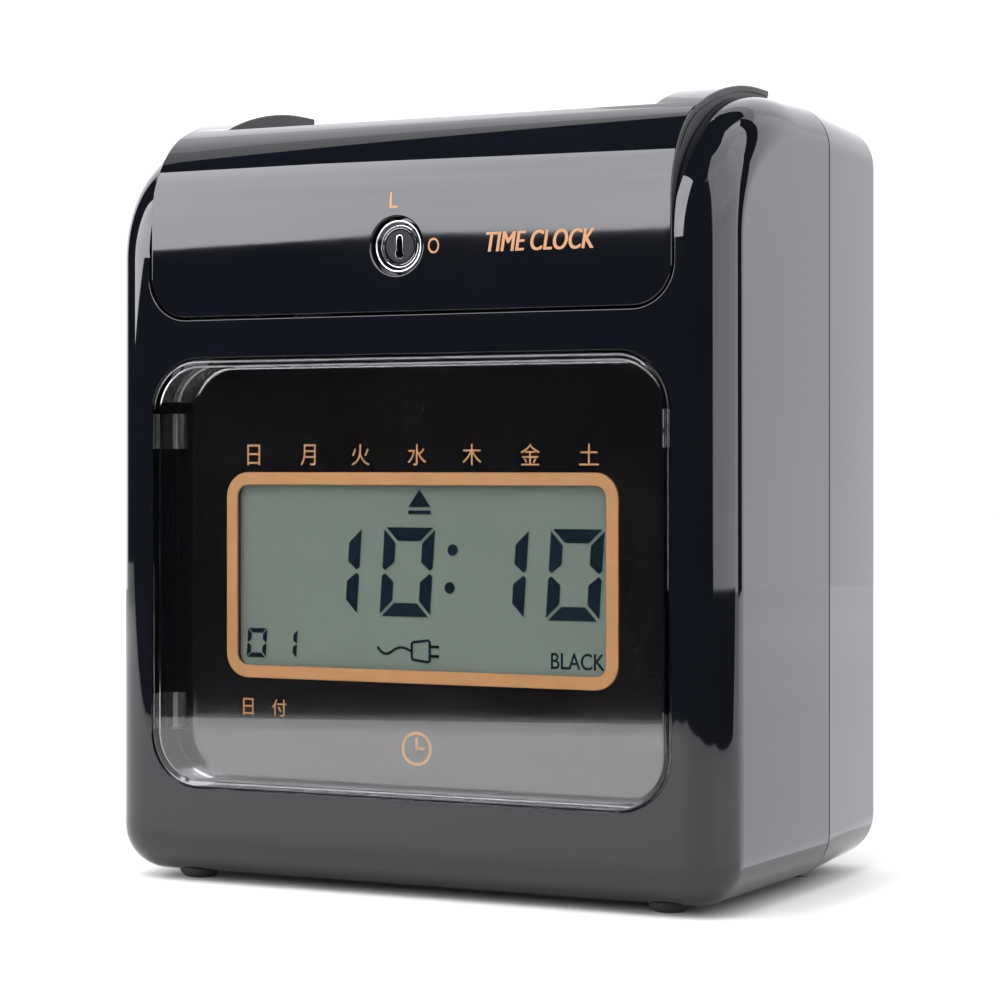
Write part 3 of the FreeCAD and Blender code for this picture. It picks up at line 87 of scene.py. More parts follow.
# The lock: its place, the well in the cover and the keyway
LOCK_X, LOCK_Z = -1.0, 178.0
LOCK_MOUTH, LOCK_FLOOR, LOCK_SHANK = 8.0, -57.5, 5.9
KEYWAY_TOP, KEYWAY_FOOT = (2.2, 0.8), (-2.0, 1.2)
# The window and the ledge it sits on
LENS_CORNER, LENS_THICK, LENS_WALL, LENS_GAP = 15.0, 1.6, 1.5, 0.5
LEDGE, LEDGE_THICK, LEDGE_REACH, SKIRT = -49.3, 1.8, 5.3, 2.0
CLIP_ZS = (48.0, 128.0)
# Feet, case screws, wall inserts, pads, jack window and vents
FOOT_X, FOOT_YS, FOOT_TOP, FOOT_SEAT = 73.5, (-46.0, 45.0), 6.0, 6.05
SCREW_X, SCREW_ZS, SCREW_TUBE, SCREW_WAY, SCREW_HOLE = 85.5, (15.5, 199.0), 5.6, 4.2, 1.8
INSERT_X, INSERT_Z, INSERT_BOSS, INSERT_SEAT = 50.0, 176.0, 5.0, 2.8
PAD_XS, PAD_ZS, PAD_TALL, PAD_THICK = (70, 82), (30, 186), 8, 0.6
JACK_X, JACK_Z, JACK_HALF_X, JACK_HALF_Z = 56.0, 30.0, 5.1, 5.6
VENTS, VENT_LOW, VENT_PITCH, VENT_TALL, VENT_HALF = 6, 70, 7, 3, 20

# The display and the print: character, place in X, and width where it varies
TIME_DIGITS = (("1", -35.5), ("0", -12.4), ("1", 16.3), ("0", 38.8))
DATE_DIGITS = (("0", -55.6), ("1", -45.6))
WEEK_SIGNS = (("日", -52.4, 4.2), ("月", -34.6, 4.9), ("火", -17.7, 5.8), ("水", 0.1, 5.8),
              ("木", 17.1, 5.8), ("金", 34.8, 5.8), ("土", 52.3, 5.8))
DATE_SIGNS = (("日", -54.2, 3.4), ("付", -44.0, 4.7))
# How far marks, their shadow and print stand out; the lean of slanting strokes
MARK, SHADOW, PRINT = 0.06, 0.02, 0.05
DIGIT_LEAN, WORD_LEAN = 15, 0.22

# Edges that turn by more than this stay sharp in the shading
SHARP_FROM = math.radians(28)


# Mesh tools --------------------------------------------------------------------------------------


def solid(name, verts, faces):
    mesh = bpy.data.meshes.new(name)
    mesh.from_pydata([tuple(v) for v in verts], [], faces)
    shape = bmesh.new()
    shape.from_mesh(mesh)
    bmesh.ops.recalc_face_normals(shape, faces=shape.faces)
    shape.to_mesh(mesh)
    shape.free()
    made = bpy.data.objects.new(name, mesh)
    bpy.context.scene.collection.objects.link(made)
    return made


def loft(name, loops, ring=False):
    """A skin through loops of equal length; capped at both ends, or closed on itself as a ring."""
    count = len(loops[0])
    verts = [point for loop in loops for point in loop]
    faces = []
    for row in range(len(loops) if ring else len(loops) - 1):
        here, there = row * count, (row + 1) % len(loops) * count
        for k in range(count):
            after = (k + 1) % count
            faces.append((here + k, here + after, there + after, there + k))
    if not ring:
        faces.append(tuple(range(count)))
        faces.append(tuple(range((len(loops) - 1) * count, len(loops) * count)))
    return solid(name, verts, faces)


def lay(axis, along, a, b):
    """A point from its place along an axis and on the other two."""
    return {"x": (along, a, b), "y": (a, along, b), "z": (a, b, along)}[axis]


def prism(name, axis, ends, outline):
    return loft(name, [[lay(axis, end, a, b) for a, b in outline] for end in ends])


def slab(name, x, y, z):
    outline = [(y[0], z[0]), (y[1], z[0]), (y[1], z[1]), (y[0], z[1])]
    return prism(name, "x", x, outline)


def circle(a, b, radius, count=64):
    turns = [2 * math.pi * k / count for k in range(count)]
    return [(a + radius * math.cos(t), b + radius * math.sin(t)) for t in turns]


def bend(a, b, radius, first, last, count):
    """Points on an arc, both ends included; angles in degrees."""
    steps = [math.radians(first + (last - first) * k / count) for k in range(count + 1)]
    return [(a + radius * math.cos(t), b + radius * math.sin(t)) for t in steps]


def round_box(low, high, radius, count=12):
    """A rectangle with round corners, from its low and high corner."""
    a0, b0, a1, b1 = low[0] + radius, low[1] + radius, high[0] - radius, high[1] - radius
    corners = ((a1, b0, -90), (a1, b1, 0), (a0, b1, 90), (a0, b0, 180))
    return [point for a, b, turn in corners for point in bend(a, b, radius, turn, turn + 90, count)]


def lathe(name, axis, centre, profile, count=96, ring=True):
    """A round piece from (along, radius) pairs; a ring when it has a hole through it."""
    loops = [[lay(axis, along, a, b) for a, b in circle(*centre, radius, count)]
             for along, radius in profile]
    return loft(name, loops, ring)


def rod(name, axis, centre, ends, radius, count):
    """A plain cylinder along an axis."""
    return lathe(name, axis, centre, [(end, radius) for end in ends], count, ring=False)


def bake(made):
    """Apply the modifiers."""
    graph = bpy.context.evaluated_depsgraph_get()
    mesh = bpy.data.meshes.new_from_object(made.evaluated_get(graph))
    made.modifiers.clear()
    made.data = mesh
    return made


def merge(made, tools, way="DIFFERENCE"):
    """Cut the tools from a piece, add them to it, or keep what they share."""
    for tool in tools:
        step = made.modifiers.new("join", "BOOLEAN")
        step.operation = way
        step.solver = "EXACT"
        step.object = tool
        bake(made)
        bpy.data.objects.remove(tool)
    shape = bmesh.new()
    shape.from_mesh(made.data)
    bmesh.ops.remove_doubles(shape, verts=shape.verts, dist=0.0005)
    bmesh.ops.dissolve_degenerate(shape, edges=shape.edges, dist=0.0005)
    shape.to_mesh(made.data)
    shape.free()
    return made


def gather(name, pieces):
    """Several shapes as one object, without joining their volumes."""
    shape = bmesh.new()
    for piece in pieces:
        shape.from_mesh(piece.data)
        bpy.data.objects.remove(piece)
    mesh = bpy.data.meshes.new(name)
    shape.to_mesh(mesh)
    shape.free()
    made = bpy.data.objects.new(name, mesh)
    bpy.context.scene.collection.objects.link(made)
    return made


def round_rims(made, width, wanted, segments=3):
    """Round the sharp edges that the test picks by their two ends."""
    shape = bmesh.new()
    shape.from_mesh(made.data)
    shape.normal_update()
    picked = [
        edge for edge in shape.edges
        if len(edge.link_faces) == 2 and edge.calc_face_angle(0) > math.radians(25)
        and wanted(edge.verts[0].co, edge.verts[1].co)
    ]
    bmesh.ops.bevel(shape, geom=picked, offset=width, offset_type="OFFSET", segments=segments,
                    profile=0.5, affect="EDGES", clamp_overlap=False)
    shape.to_mesh(made.data)
    shape.free()
    return made


def place(made, name, body, material, nodes=()):
    """Finish a piece: metres, smooth normals, material, body, and the CAD nodes it stands for."""
    made.name = name
    made.data.name = name
    made.data.transform(Matrix.Scale(MM, 4))
    made.data.polygons.foreach_set("use_smooth", [True] * len(made.data.polygons))
    made.data.set_sharp_from_angle(angle=SHARP_FROM)
    weigh = made.modifiers.new("normals", "WEIGHTED_NORMAL")
    weigh.keep_sharp = True
    weigh.weight = 80
    made.data.materials.clear()
    made.data.materials.append(material)
    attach(made, body)
    if nodes:
        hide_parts(*nodes)
    return made


# Materials ---------------------------------------------------------------------------------------


FINISHES = {}
RELIEF_DEPTH = 2e-5


def finish(name, dark, light, rough, grain, bump, metal=0.0, **sockets):
    """A surface whose colour, gloss and relief vary with two scales of grain, in 1/m."""
    made = bpy.data.materials.new(name)
    FINISHES[name] = made
    made.use_nodes = True
    tree = made.node_tree
    shader = tree.nodes["Principled BSDF"]
    shader.inputs["Metallic"].default_value = metal
    for key, value in sockets.items():
        shader.inputs[key.replace("_", " ")].default_value = value
    where = tree.nodes.new("ShaderNodeTexCoord").outputs["Object"]
    noises = []
    for scale in grain:
        noise = tree.nodes.new("ShaderNodeTexNoise")
        noise.inputs["Scale"].default_value = scale
        noise.inputs["Detail"].default_value = 4.0
        tree.links.new(where, noise.inputs["Vector"])
        noises.append(noise.outputs["Fac"])
    tint = tree.nodes.new("ShaderNodeMix")
    tint.data_type = "RGBA"
    tint.inputs["A"].default_value = (*dark, 1.0)
    tint.inputs["B"].default_value = (*light, 1.0)
    tree.links.new(noises[0], tint.inputs["Factor"])
    tree.links.new(tint.outputs["Result"], shader.inputs["Base Color"])
    gloss = tree.nodes.new("ShaderNodeMapRange")
    gloss.inputs["From Min"].default_value = 0.3
    gloss.inputs["From Max"].default_value = 0.7
    gloss.inputs["To Min"].default_value = rough[0]
    gloss.inputs["To Max"].default_value = rough[1]
    tree.links.new(noises[0], gloss.inputs["Value"])
    tree.links.new(gloss.outputs["Result"], shader.inputs["Roughness"])
    relief = tree.nodes.new("ShaderNodeBump")
    relief.inputs["Strength"].default_value = bump
    relief.inputs["Distance"].default_value = RELIEF_DEPTH
    tree.links.new(noises[1], relief.inputs["Height"])
    tree.links.new(relief.outputs["Normal"], shader.inputs["Normal"])
    return made


def clear_finish(name, rough):
    """Clear moulded plastic that lets the lamps through to what is behind it."""
    made = finish(name, (0.985, 0.99, 1.0), (1.0, 1.0, 1.0), rough,
                  (30.0, 300.0), 0.01, IOR=1.49, Transmission_Weight=1.0)
    tree = made.node_tree
    shader = tree.nodes["Principled BSDF"]
    path = tree.nodes.new("ShaderNodeLightPath")
    passing = tree.nodes.new("ShaderNodeBsdfTransparent")
    mix = tree.nodes.new("ShaderNodeMixShader")
    tree.links.new(path.outputs["Is Shadow Ray"], mix.inputs["Fac"])
    tree.links.new(shader.outputs["BSDF"], mix.inputs[1])
    tree.links.new(passing.outputs["BSDF"], mix.inputs[2])
    output = tree.nodes["Material Output"]
    tree.links.new(mix.outputs["Shader"], output.inputs["Surface"])
    return made


finish("gloss_black", (0.0035, 0.0042, 0.0065), (0.0050, 0.0058, 0.0085), (0.018, 0.035),
       (25.0, 220.0), 0.02, IOR=1.52)
finish("matte_black", (0.020, 0.020, 0.022), (0.030, 0.030, 0.033), (0.50, 0.62),
       (60.0, 2600.0), 0.25)
clear_finish("clear_window", (0.004, 0.02))
clear_finish("clear_frost", (0.25, 0.4))
finish("panel_black", (0.0025, 0.0025, 0.0032), (0.0040, 0.0040, 0.0050), (0.05, 0.08),
       (30.0, 400.0), 0.01, Coat_Weight=1.0, Coat_Roughness=0.03)
finish("copper_print", (0.33, 0.155, 0.062), (0.42, 0.205, 0.088), (0.42, 0.55),
       (300.0, 5200.0), 0.35, metal=0.25)
finish("copper_deep", (0.240, 0.106, 0.024), (0.305, 0.140, 0.035), (0.42, 0.55),
       (300.0, 5200.0), 0.35, metal=0.25)
finish("plug_black", (0.008, 0.008, 0.009), (0.014, 0.014, 0.016), (0.35, 0.5),
       (150.0, 2400.0), 0.2, Specular_IOR_Level=0.18)
finish("lcd", (0.119, 0.146, 0.121), (0.131, 0.160, 0.134), (0.06, 0.10),
       (18.0, 600.0), 0.01)
finish("lcd_shade", (0.10, 0.125, 0.105), (0.115, 0.14, 0.12), (0.06, 0.1),
       (18.0, 600.0), 0.02)
finish("lcd_ink", (0.003, 0.008, 0.014), (0.005, 0.011, 0.018), (0.06, 0.1),
       (60.0, 900.0), 0.01)
finish("circuit_board", (0.010, 0.075, 0.030), (0.018, 0.115, 0.045), (0.25, 0.42),
       (240.0, 1800.0), 0.25)
finish("components", (0.016, 0.016, 0.018), (0.030, 0.030, 0.034), (0.35, 0.5),
       (150.0, 2400.0), 0.2)
finish("white_plastic", (0.72, 0.71, 0.67), (0.80, 0.79, 0.75), (0.35, 0.48),
       (60.0, 1600.0), 0.1)
finish("key_grey", (0.30, 0.31, 0.33), (0.36, 0.37, 0.39), (0.45, 0.55),
       (80.0, 2200.0), 0.2)
finish("cassette", (0.012, 0.012, 0.013), (0.020, 0.020, 0.022), (0.32, 0.45),
       (70.0, 2000.0), 0.15)
finish("ribbon", (0.006, 0.006, 0.007), (0.02, 0.02, 0.024), (0.7, 0.85),
       (400.0, 5200.0), 0.6)
finish("rubber", (0.010, 0.010, 0.011), (0.020, 0.020, 0.021), (0.72, 0.88),
       (90.0, 2600.0), 0.4)
finish("sheet_steel", (0.46, 0.47, 0.48), (0.62, 0.63, 0.65), (0.26, 0.42),
       (110.0, 1300.0), 0.12, metal=1.0)
finish("bright_steel", (0.62, 0.62, 0.63), (0.74, 0.74, 0.75), (0.12, 0.22),
       (90.0, 1800.0), 0.06, metal=1.0)
finish("chrome", (0.78, 0.79, 0.80), (0.86, 0.87, 0.88), (0.035, 0.08),
       (120.0, 900.0), 0.02, metal=1.0)
finish("dark_metal", (0.10, 0.10, 0.11), (0.17, 0.17, 0.18), (0.3, 0.45),
       (150.0, 2000.0), 0.15, metal=1.0)
finish("brass", (0.62, 0.42, 0.16), (0.74, 0.52, 0.22), (0.18, 0.3),
       (120.0, 1800.0), 0.1, metal=1.0)
finish("aluminium", (0.55, 0.56, 0.58), (0.68, 0.69, 0.71), (0.22, 0.34),
       (140.0, 2200.0), 0.12, metal=1.0)
finish("battery", (0.03, 0.10, 0.25), (0.05, 0.15, 0.33), (0.3, 0.42),
       (70.0, 1500.0), 0.08)


# Case shells -------------------------------------------------------------------------------------


def brow(front, start, first, turn, second, inset, count=18):
    """The curve of a front from its straight face to its crest, moved inwards by inset."""
    knee = math.radians(turn)
    far_y = front + first - (first - second) * math.cos(knee)
    far_z = start + (first - second) * math.sin(knee)
    curve = bend(front + first, start, first - inset, 180, 180 - turn, count)
    return curve + bend(far_y, far_z, second - inset, 180 - turn, 90, count)[1:]


def front_block(name, inset, radius):
    """The drafted front half of the case as a solid, smaller by inset all round."""
    curve = brow(*SHOULDER, inset)
    face = FRONT + inset
    outline = [(face, BOTTOM)] + curve + [(SEAM, TOP - inset), (SEAM, BOTTOM)]
    made = prism(name, "x", (-1.0, 1.0), outline)
    for vert in made.data.vertices:
        back = (SEAM - vert.co.y) * FRONT_DRAFT
        vert.co.x *= CASE_HALF - back - inset
        if vert.co.z == BOTTOM:
            vert.co.z = BOTTOM + back + inset
    shape = bmesh.new()
    shape.from_mesh(made.data)
    shape.normal_update()
    picked = []
    for edge in shape.edges:
        one, two = (vert.co for vert in edge.verts)
        on_seam = one.y > SEAM - 0.01 and two.y > SEAM - 0.01
        across = one.x * two.x < 0
        low = max(one.z, two.z) < BOTTOM + 10
        if not on_seam and (not across or (low and max(one.y, two.y) < face + 1)):
            picked.append(edge)
    bmesh.ops.bevel(shape, geom=picked, offset=radius, offset_type="OFFSET", segments=16,
                    profile=0.5, affect="EDGES", clamp_overlap=False)
    bmesh.ops.recalc_face_normals(shape, faces=shape.faces)
    shape.to_mesh(made.data)
    shape.free()
    return made


def rear_loops(inset, start):
    """Loops of the drafted rear half, from the seam to the rounded back."""
    middle, tall = (BOTTOM + TOP) / 2, (TOP - BOTTOM) / 2
    rear, rim = REAR - inset, REAR_EDGE - inset
    steps = [(start, 0.0)] + [(rear - rim + rim * math.sin(t), rim * (1 - math.cos(t)))
                              for t in (math.radians(9 * k) for k in range(11))]
    loops = []
    for y, more in steps:
        less = (y - SEAM) * REAR_DRAFT + inset + more
        half_x, half_z = CASE_HALF - less, tall - less
        corner = max(EDGE - inset - more, 0.6)
        ring = round_box((-half_x, middle - half_z), (half_x, middle + half_z), corner, 14)
        loops.append([lay("y", y, a, b) for a, b in ring])
    return loops


def lens_plate(name, grow, ends):
    """A plate of the window's outline, larger by grow all round."""
    low, high = (LENS_LOW.x - grow, LENS_LOW.z - grow), (LENS_HIGH.x + grow, LENS_HIGH.z + grow)
    return prism(name, "y", ends, round_box(low, high, LENS_CORNER + grow, 16))


def cover_plate(name, grow, ends):
    """A plate of the cover's outline as seen from the front, open at the top."""
    half, low = COVER_HALF + grow, COVER_BOTTOM - grow
    outline = round_box((-half, low), (half, low + 140), COVER_CORNER + grow, 14)
    return prism(name, "y", ends, outline)


def outer_rim(one, two):
    """Whether an edge near the seam, given by its two ends, is on the outside of the case."""
    return (max(abs(one.x), abs(two.x)) > CASE_HALF - 1 or min(one.z, two.z) > TOP - 1
            or max(one.z, two.z) < 3)


def make_case_front():
    made = front_block("front", 0.0, EDGE)
    merge(made, [front_block("front_inside", WALL, EDGE - WALL)])
    bay_half, sill = COVER_HALF + COVER_GAP, COVER_BOTTOM - COVER_GAP
    ribs = [lens_plate("skirt", LENS_GAP + SKIRT, (FRONT + 1, LEDGE + LEDGE_THICK)),
            slab("sill", (-bay_half - RIB, bay_half + RIB), (FRONT + 1, FRONT + 8.5),
                 (sill - RIB, sill)),
            slab("strike", (LOCK_X - 7, LOCK_X + 7), (FRONT + 1, -52), (152, 154.2))]
    # the ribs beside the bay follow the shoulder, half way into the wall
    curve = brow(*SHOULDER, WALL / 2)
    outline = [(FRONT + 1.2, sill - RIB)] + curve
    outline += [(SEAM - 3, curve[-1][1]), (SEAM - 3, sill - RIB)]
    for side in (-1, 1):
        x = sorted((side * bay_half, side * (bay_half + RIB)))
        ribs.append(prism("bay_side", "x", x, outline))
    merge(made, ribs, "UNION")
    # the roof is open over the bay, with room behind the knuckles
    back, room = HINGE_Y - 1.2, HINGE_Y + 2.3
    near, far = BOSS_SPANS[0][1], BOSS_SPANS[1][0]
    roof = [(-bay_half, FRONT + 12), (bay_half, FRONT + 12), (bay_half, back), (far, back),
            (far, room), (near, room), (near, back), (-near, back), (-near, room), (-far, room),
            (-far, back), (-bay_half, back)]
    tools = [lens_plate("mouth", LENS_GAP, (FRONT - 5, LEDGE)),
             lens_plate("through", LENS_GAP - LEDGE_REACH, (FRONT, SEAM)),
             cover_plate("cover_mouth", COVER_GAP, (FRONT - 5, FRONT + 15.5)),
             prism("roof", "z", (200, TOP + 5), roof),
             slab("notch", (LOCK_X - 6, LOCK_X + 6), (FRONT + 4.5, FRONT + 10), (157, 160))]
    tools += [rod("foot_seat", "z", (side * FOOT_X, FOOT_YS[0]), (0, FOOT_TOP), FOOT_SEAT, 96)
              for side in (-1, 1)]
    tools.append(slab("trim", (-100, 100), (SEAM - SEAM_GAP / 2, SEAM + 5), (0, 300)))
    merge(made, tools)
    outline = bend(HINGE_Y, HINGE_Z, KNUCKLE, 90, 270, 16)
    outline += [(SEAM - 0.2, HINGE_Z - 3.4), (SEAM - 0.2, HINGE_Z + KNUCKLE)]
    bosses = [prism("boss", "x", sorted((side * near, side * far)), outline)
              for side in (-1, 1) for near, far in BOSS_SPANS]
    merge(made, bosses, "UNION")

    def rim(one, two):
        mouth = (max(abs(one.x), abs(two.x)) < bay_half + 0.01
                 and min(one.z, two.z) > sill - 0.01)
        window = (max(one.z, two.z) < LENS_HIGH.z + 1
                  and max(abs(one.x), abs(two.x)) < COVER_HALF + 0.5)
        at_face = max(one.y, two.y) < FRONT + 0.02
        on_seam = min(one.y, two.y) > SEAM - 0.21
        return (at_face and (mouth or window)) or (on_seam and outer_rim(one, two))

    round_rims(made, 0.3, rim)
    place(made, "case_front_skin", "case", FINISHES["gloss_black"], ["front_housing"])


def make_case_rear():
    start = SEAM + SEAM_GAP / 2
    made = loft("rear", rear_loops(0.0, start))
    merge(made, [loft("rear_inside", rear_loops(WALL, SEAM - 5))])
    # a lip that reaches into the front half, left out over the bay
    middle, tall = (BOTTOM + TOP) / 2, (TOP - BOTTOM) / 2
    rings = []
    for inset, ends in ((WALL + 0.15, (SEAM - 2.8, SEAM + 4)), (WALL + 1.35, (SEAM - 4, SEAM + 6))):
        outline = round_box((inset - CASE_HALF, middle - tall + inset),
                            (CASE_HALF - inset, middle + tall - inset), 14.0 - inset, 12)
        rings.append(prism("lip", "y", ends, outline))
    relief = slab("relief", (-84, 84), (SEAM - 5, SEAM + 0.2), (205, 300))
    added = [merge(rings[0], [rings[1], relief])]
    added += [rod("tube", "y", (side * SCREW_X, z), (start, REAR - 4), SCREW_TUBE, 48)
              for side in (-1, 1) for z in SCREW_ZS]
    added += [slab("pad", sorted(side * x for x in PAD_XS), (REAR - 1, REAR + PAD_THICK),
                   (z, z + PAD_TALL)) for side in (-1, 1) for z in PAD_ZS]
    added += [rod("boss", "y", (side * INSERT_X, INSERT_Z), (REAR - 13, REAR - 1), INSERT_BOSS, 48)
              for side in (-1, 1)]
    merge(made, added, "UNION")
    tools = []
    for side in (-1, 1):
        for z in SCREW_ZS:
            at = (side * SCREW_X, z)
            tools.append(rod("way", "y", at, (SEAM + 6, REAR + 5), SCREW_WAY, 48))
            tools.append(rod("hole", "y", at, (SEAM - 5, SEAM + 7), SCREW_HOLE, 32))
        tools.append(rod("seat", "y", (side * INSERT_X, INSERT_Z), (REAR - 10, REAR + 2),
                         INSERT_SEAT, 48))
        tools.append(rod("foot_seat", "z", (side * FOOT_X, FOOT_YS[1]), (0, FOOT_TOP),
                         FOOT_SEAT, 96))
    tools.append(slab("jack_window", (JACK_X - JACK_HALF_X, JACK_X + JACK_HALF_X),
                      (REAR - 4, REAR + 2), (JACK_Z - JACK_HALF_Z, JACK_Z + JACK_HALF_Z)))
    for row in range(VENTS):
        low = VENT_LOW + VENT_PITCH * row
        outline = round_box((-VENT_HALF, low), (VENT_HALF, low + VENT_TALL),
                            VENT_TALL / 2 - 0.01, 8)
        tools.append(prism("vent", "y", (REAR - 4, REAR + 2), outline))
    merge(made, tools)

    def rim(one, two):
        at_back = min(one.y, two.y) > REAR - 0.02
        on_seam = abs(one.y - two.y) < 0.01 and abs(one.y - start) < 0.01
        return at_back or (on_seam and outer_rim(one, two))

    round_rims(made, 0.25, rim, 2)
    place(made, "case_rear_skin", "case", FINISHES["gloss_black"], ["rear_housing"])


# Upper cover -------------------------------------------------------------------------------------


def cover_face(z):
    """How far forward the cover's face is at a height."""
    front, start, first = BROW[:3]
    return front if z <= start else front + first - math.sqrt(first**2 - (z - start) ** 2)


def make_cover():
    outer = brow(*BROW, 0.0)
    crest = outer[-1][1]
    crest_low = crest - COVER_DEPTH
    outline = [(FRONT, COVER_BOTTOM)] + outer + [(ARM_END, crest), (ARM_END, crest_low + 1)]
    outline += brow(*BROW, COVER_DEPTH)[::-1] + [(FRONT + COVER_DEPTH, COVER_BOTTOM)]
    made = prism("cover", "x", (-COVER_HALF, COVER_HALF), outline)
    merge(made, [cover_plate("mask", 0.0, (FRONT - 5, 60))], "INTERSECT")
    # hollow behind the face and in both arms, and open above between the arms
    hollow = brow(*BROW, COVER_WALL)
    roof, sill, back = hollow[-1][1], COVER_BOTTOM + COVER_WALL, ARM_END - 4.6
    inner = [(FRONT + COVER_WALL, sill)] + hollow
    inner += [(back, roof), (back, 200), (FRONT + 30, 200), (FRONT + 30, sill)]
    tools = [prism("hollow", "x", (-ARM_INNER, ARM_INNER), inner)]
    for side in (-1, 1):
        x = sorted((side * (ARM_INNER + 2.2), side * (COVER_HALF - 2.2)))
        tools.append(prism("arm_hollow", "x", x, inner))
    tools.append(slab("visor", (-ARM_INNER, ARM_INNER), (VISOR_END, ARM_END + 1), (150, 230)))
    tools.append(rod("scoop", "x", (HINGE_Y, HINGE_Z), (-COVER_HALF - 1, COVER_HALF + 1),
                     HINGE_ROOM, 48))
    merge(made, tools)
    lock = (LOCK_X, LOCK_Z)
    added = [rod("cup", "y", lock, (FRONT + 1, LOCK_FLOOR + 2), LOCK_MOUTH + 1.8, 96)]
    outline = bend(HINGE_Y, HINGE_Z, KNUCKLE, -90, 90, 16)
    outline += [(ARM_END - 2.4, HINGE_Z + KNUCKLE - 0.4), (ARM_END - 2.4, HINGE_Z - KNUCKLE)]
    added += [prism("knuckle", "x", sorted(side * x for x in KNUCKLE_SPAN), outline)
              for side in (-1, 1)]
    merge(made, added, "UNION")
    bores = [rod("mouth", "y", lock, (FRONT - 2, LOCK_FLOOR), LOCK_MOUTH, 96),
             rod("shank", "y", lock, (LOCK_FLOOR - 1, LOCK_FLOOR + 4), LOCK_SHANK, 96)]
    bores += [rod("pin_bore", "x", (HINGE_Y, HINGE_Z), [side * x for x in PIN_SPAN], PIN_RADIUS, 32)
              for side in (-1, 1)]
    merge(made, bores)

    def rim(one, two):
        ends = (one, two)
        bottom = all(p.z < COVER_BOTTOM + COVER_CORNER + 0.1 and p.y < FRONT + 0.02 for p in ends)
        side = all(abs(abs(p.x) - COVER_HALF) < 0.01 and p.y < ARM_END + 0.01
                   and (p.z > crest - 25 or abs(p.y - cover_face(p.z)) < 0.02) for p in ends)
        mouth = one.y < FRONT + 0.02 and all(
            abs(math.hypot(p.x - LOCK_X, p.z - LOCK_Z) - LOCK_MOUTH) < 0.1 for p in ends)
        visor = all(p.y > VISOR_END - 0.01 and p.z > crest_low for p in ends)
        return bottom or side or mouth or visor

    round_rims(made, 0.45, rim)
    # the groove starts a little way up the curve of the brow
    upper, lower = (brow(*BROW, depth)[8:] for depth in GROOVE)
    outline = upper + [(ARM_END + 1, crest - depth) for depth in GROOVE] + lower[::-1]
    grooves = []
    for side in (-1, 1):
        x = sorted((side * (COVER_HALF - 0.35), side * (COVER_HALF + 1)))
        grooves.append(prism("groove", "x", x, outline))
    merge(made, grooves)
    place(made, "cover_skin", "cover", FINISHES["gloss_black"], ["upper_cover"])
    # the upper part of the arms' sides is matt
    made.data.materials.append(FINISHES["matte_black"])
    for face in made.data.polygons:
        if abs(face.normal.x) > 0.9 and face.center.z > MATTE_ABOVE * MM:
            face.material_index = 1


# Window, display and labels ----------------------------------------------------------------------


def ring_loops(low, high, corner, steps, count=16):
    """Loops of a rounded rectangle; each step gives its place along Y and how far it is inset."""
    loops = []
    for y, inset in steps:
        ring = round_box((low[0] + inset, low[1] + inset), (high[0] - inset, high[1] - inset),
                         max(corner - inset, 0.3), count)
        loops.append([lay("y", y, a, b) for a, b in ring])
    return loops


def make_window():
    low, high = (LENS_LOW.x, LENS_LOW.z), (LENS_HIGH.x, LENS_HIGH.z)
    face, back, soft = LENS_LOW.y, LENS_HIGH.y, 0.9
    steps = [(face + soft - soft * math.cos(t), soft - soft * math.sin(t))
             for t in (math.radians(15 * k) for k in range(7))]
    steps += [(back, 0.0), (back, LENS_WALL), (face + LENS_THICK + 0.8, LENS_WALL),
              (face + LENS_THICK + 0.25, LENS_WALL + 0.25), (face + LENS_THICK, LENS_WALL + 0.8)]
    made = loft("window", ring_loops(low, high, LENS_CORNER, steps))
    place(made, "window_lens", "case", FINISHES["clear_window"], ["display_lens"])
    clips = []
    for side in (-1, 1):
        for z in CLIP_ZS:
            x = sorted((side * (LENS_HIGH.x - 0.2), side * (LENS_HIGH.x - 4.6)))
            clips.append(slab("clip", x, (LEDGE - 2.6, LEDGE - 0.2), (z - 5, z + 5)))
    made = gather("clips", clips)
    round_rims(made, 0.3, lambda one, two: True, 2)
    place(made, "window_clips", "case", FINISHES["clear_frost"])


def make_copper_frame():
    low, high = (FRAME_LOW.x, FRAME_LOW.z), (FRAME_HIGH.x, FRAME_HIGH.z)
    face, back, band = FRAME_LOW.y, FRAME_HIGH.y, 3.6
    steps = [(back, 0.0), (face + 0.15, 0.0), (face, 0.15), (face, band - 0.15),
             (face + 0.15, band), (back, band)]
    made = loft("frame", ring_loops(low, high, 7.0, steps, 14), ring=True)
    place(made, "copper_frame", "case", FINISHES["copper_deep"], ["display_bezel"])


def flat_shape(name, outlines, y, thick):
    """Thin closed shapes from outlines in X and Z, standing out forwards from y."""
    parts = [prism(name, "y", (y, y - thick), outline) for outline in outlines]
    return gather(name, parts)


def segments(digit, corner, width, height, stroke):
    """The lit segments of a leaning seven-segment digit, as outlines."""
    gap, half = 0.1 * stroke, height / 2
    short = 1.6 * gap
    upper = [(width, height - short), (width - stroke, height - stroke - short),
             (width - stroke, half + 0.72 * stroke), (width - 0.25 * stroke, half + gap),
             (width, half + 0.3 * stroke)]
    bar = [(short, height), (width - short, height), (width - stroke - short, height - stroke),
           (stroke + short, height - stroke)]

    def flip_x(points):
        return [(width - a, b) for a, b in points]

    def flip_z(points):
        return [(a, height - b) for a, b in points]

    shapes = {"a": bar, "b": upper, "c": flip_z(upper), "d": flip_z(bar),
              "e": flip_x(flip_z(upper)), "f": flip_x(upper)}
    lit = {"0": "abcdef", "1": "bc"}[digit]
    return [[(corner[0] + a + b / DIGIT_LEAN, corner[1] + b) for a, b in shapes[key]]
            for key in lit]


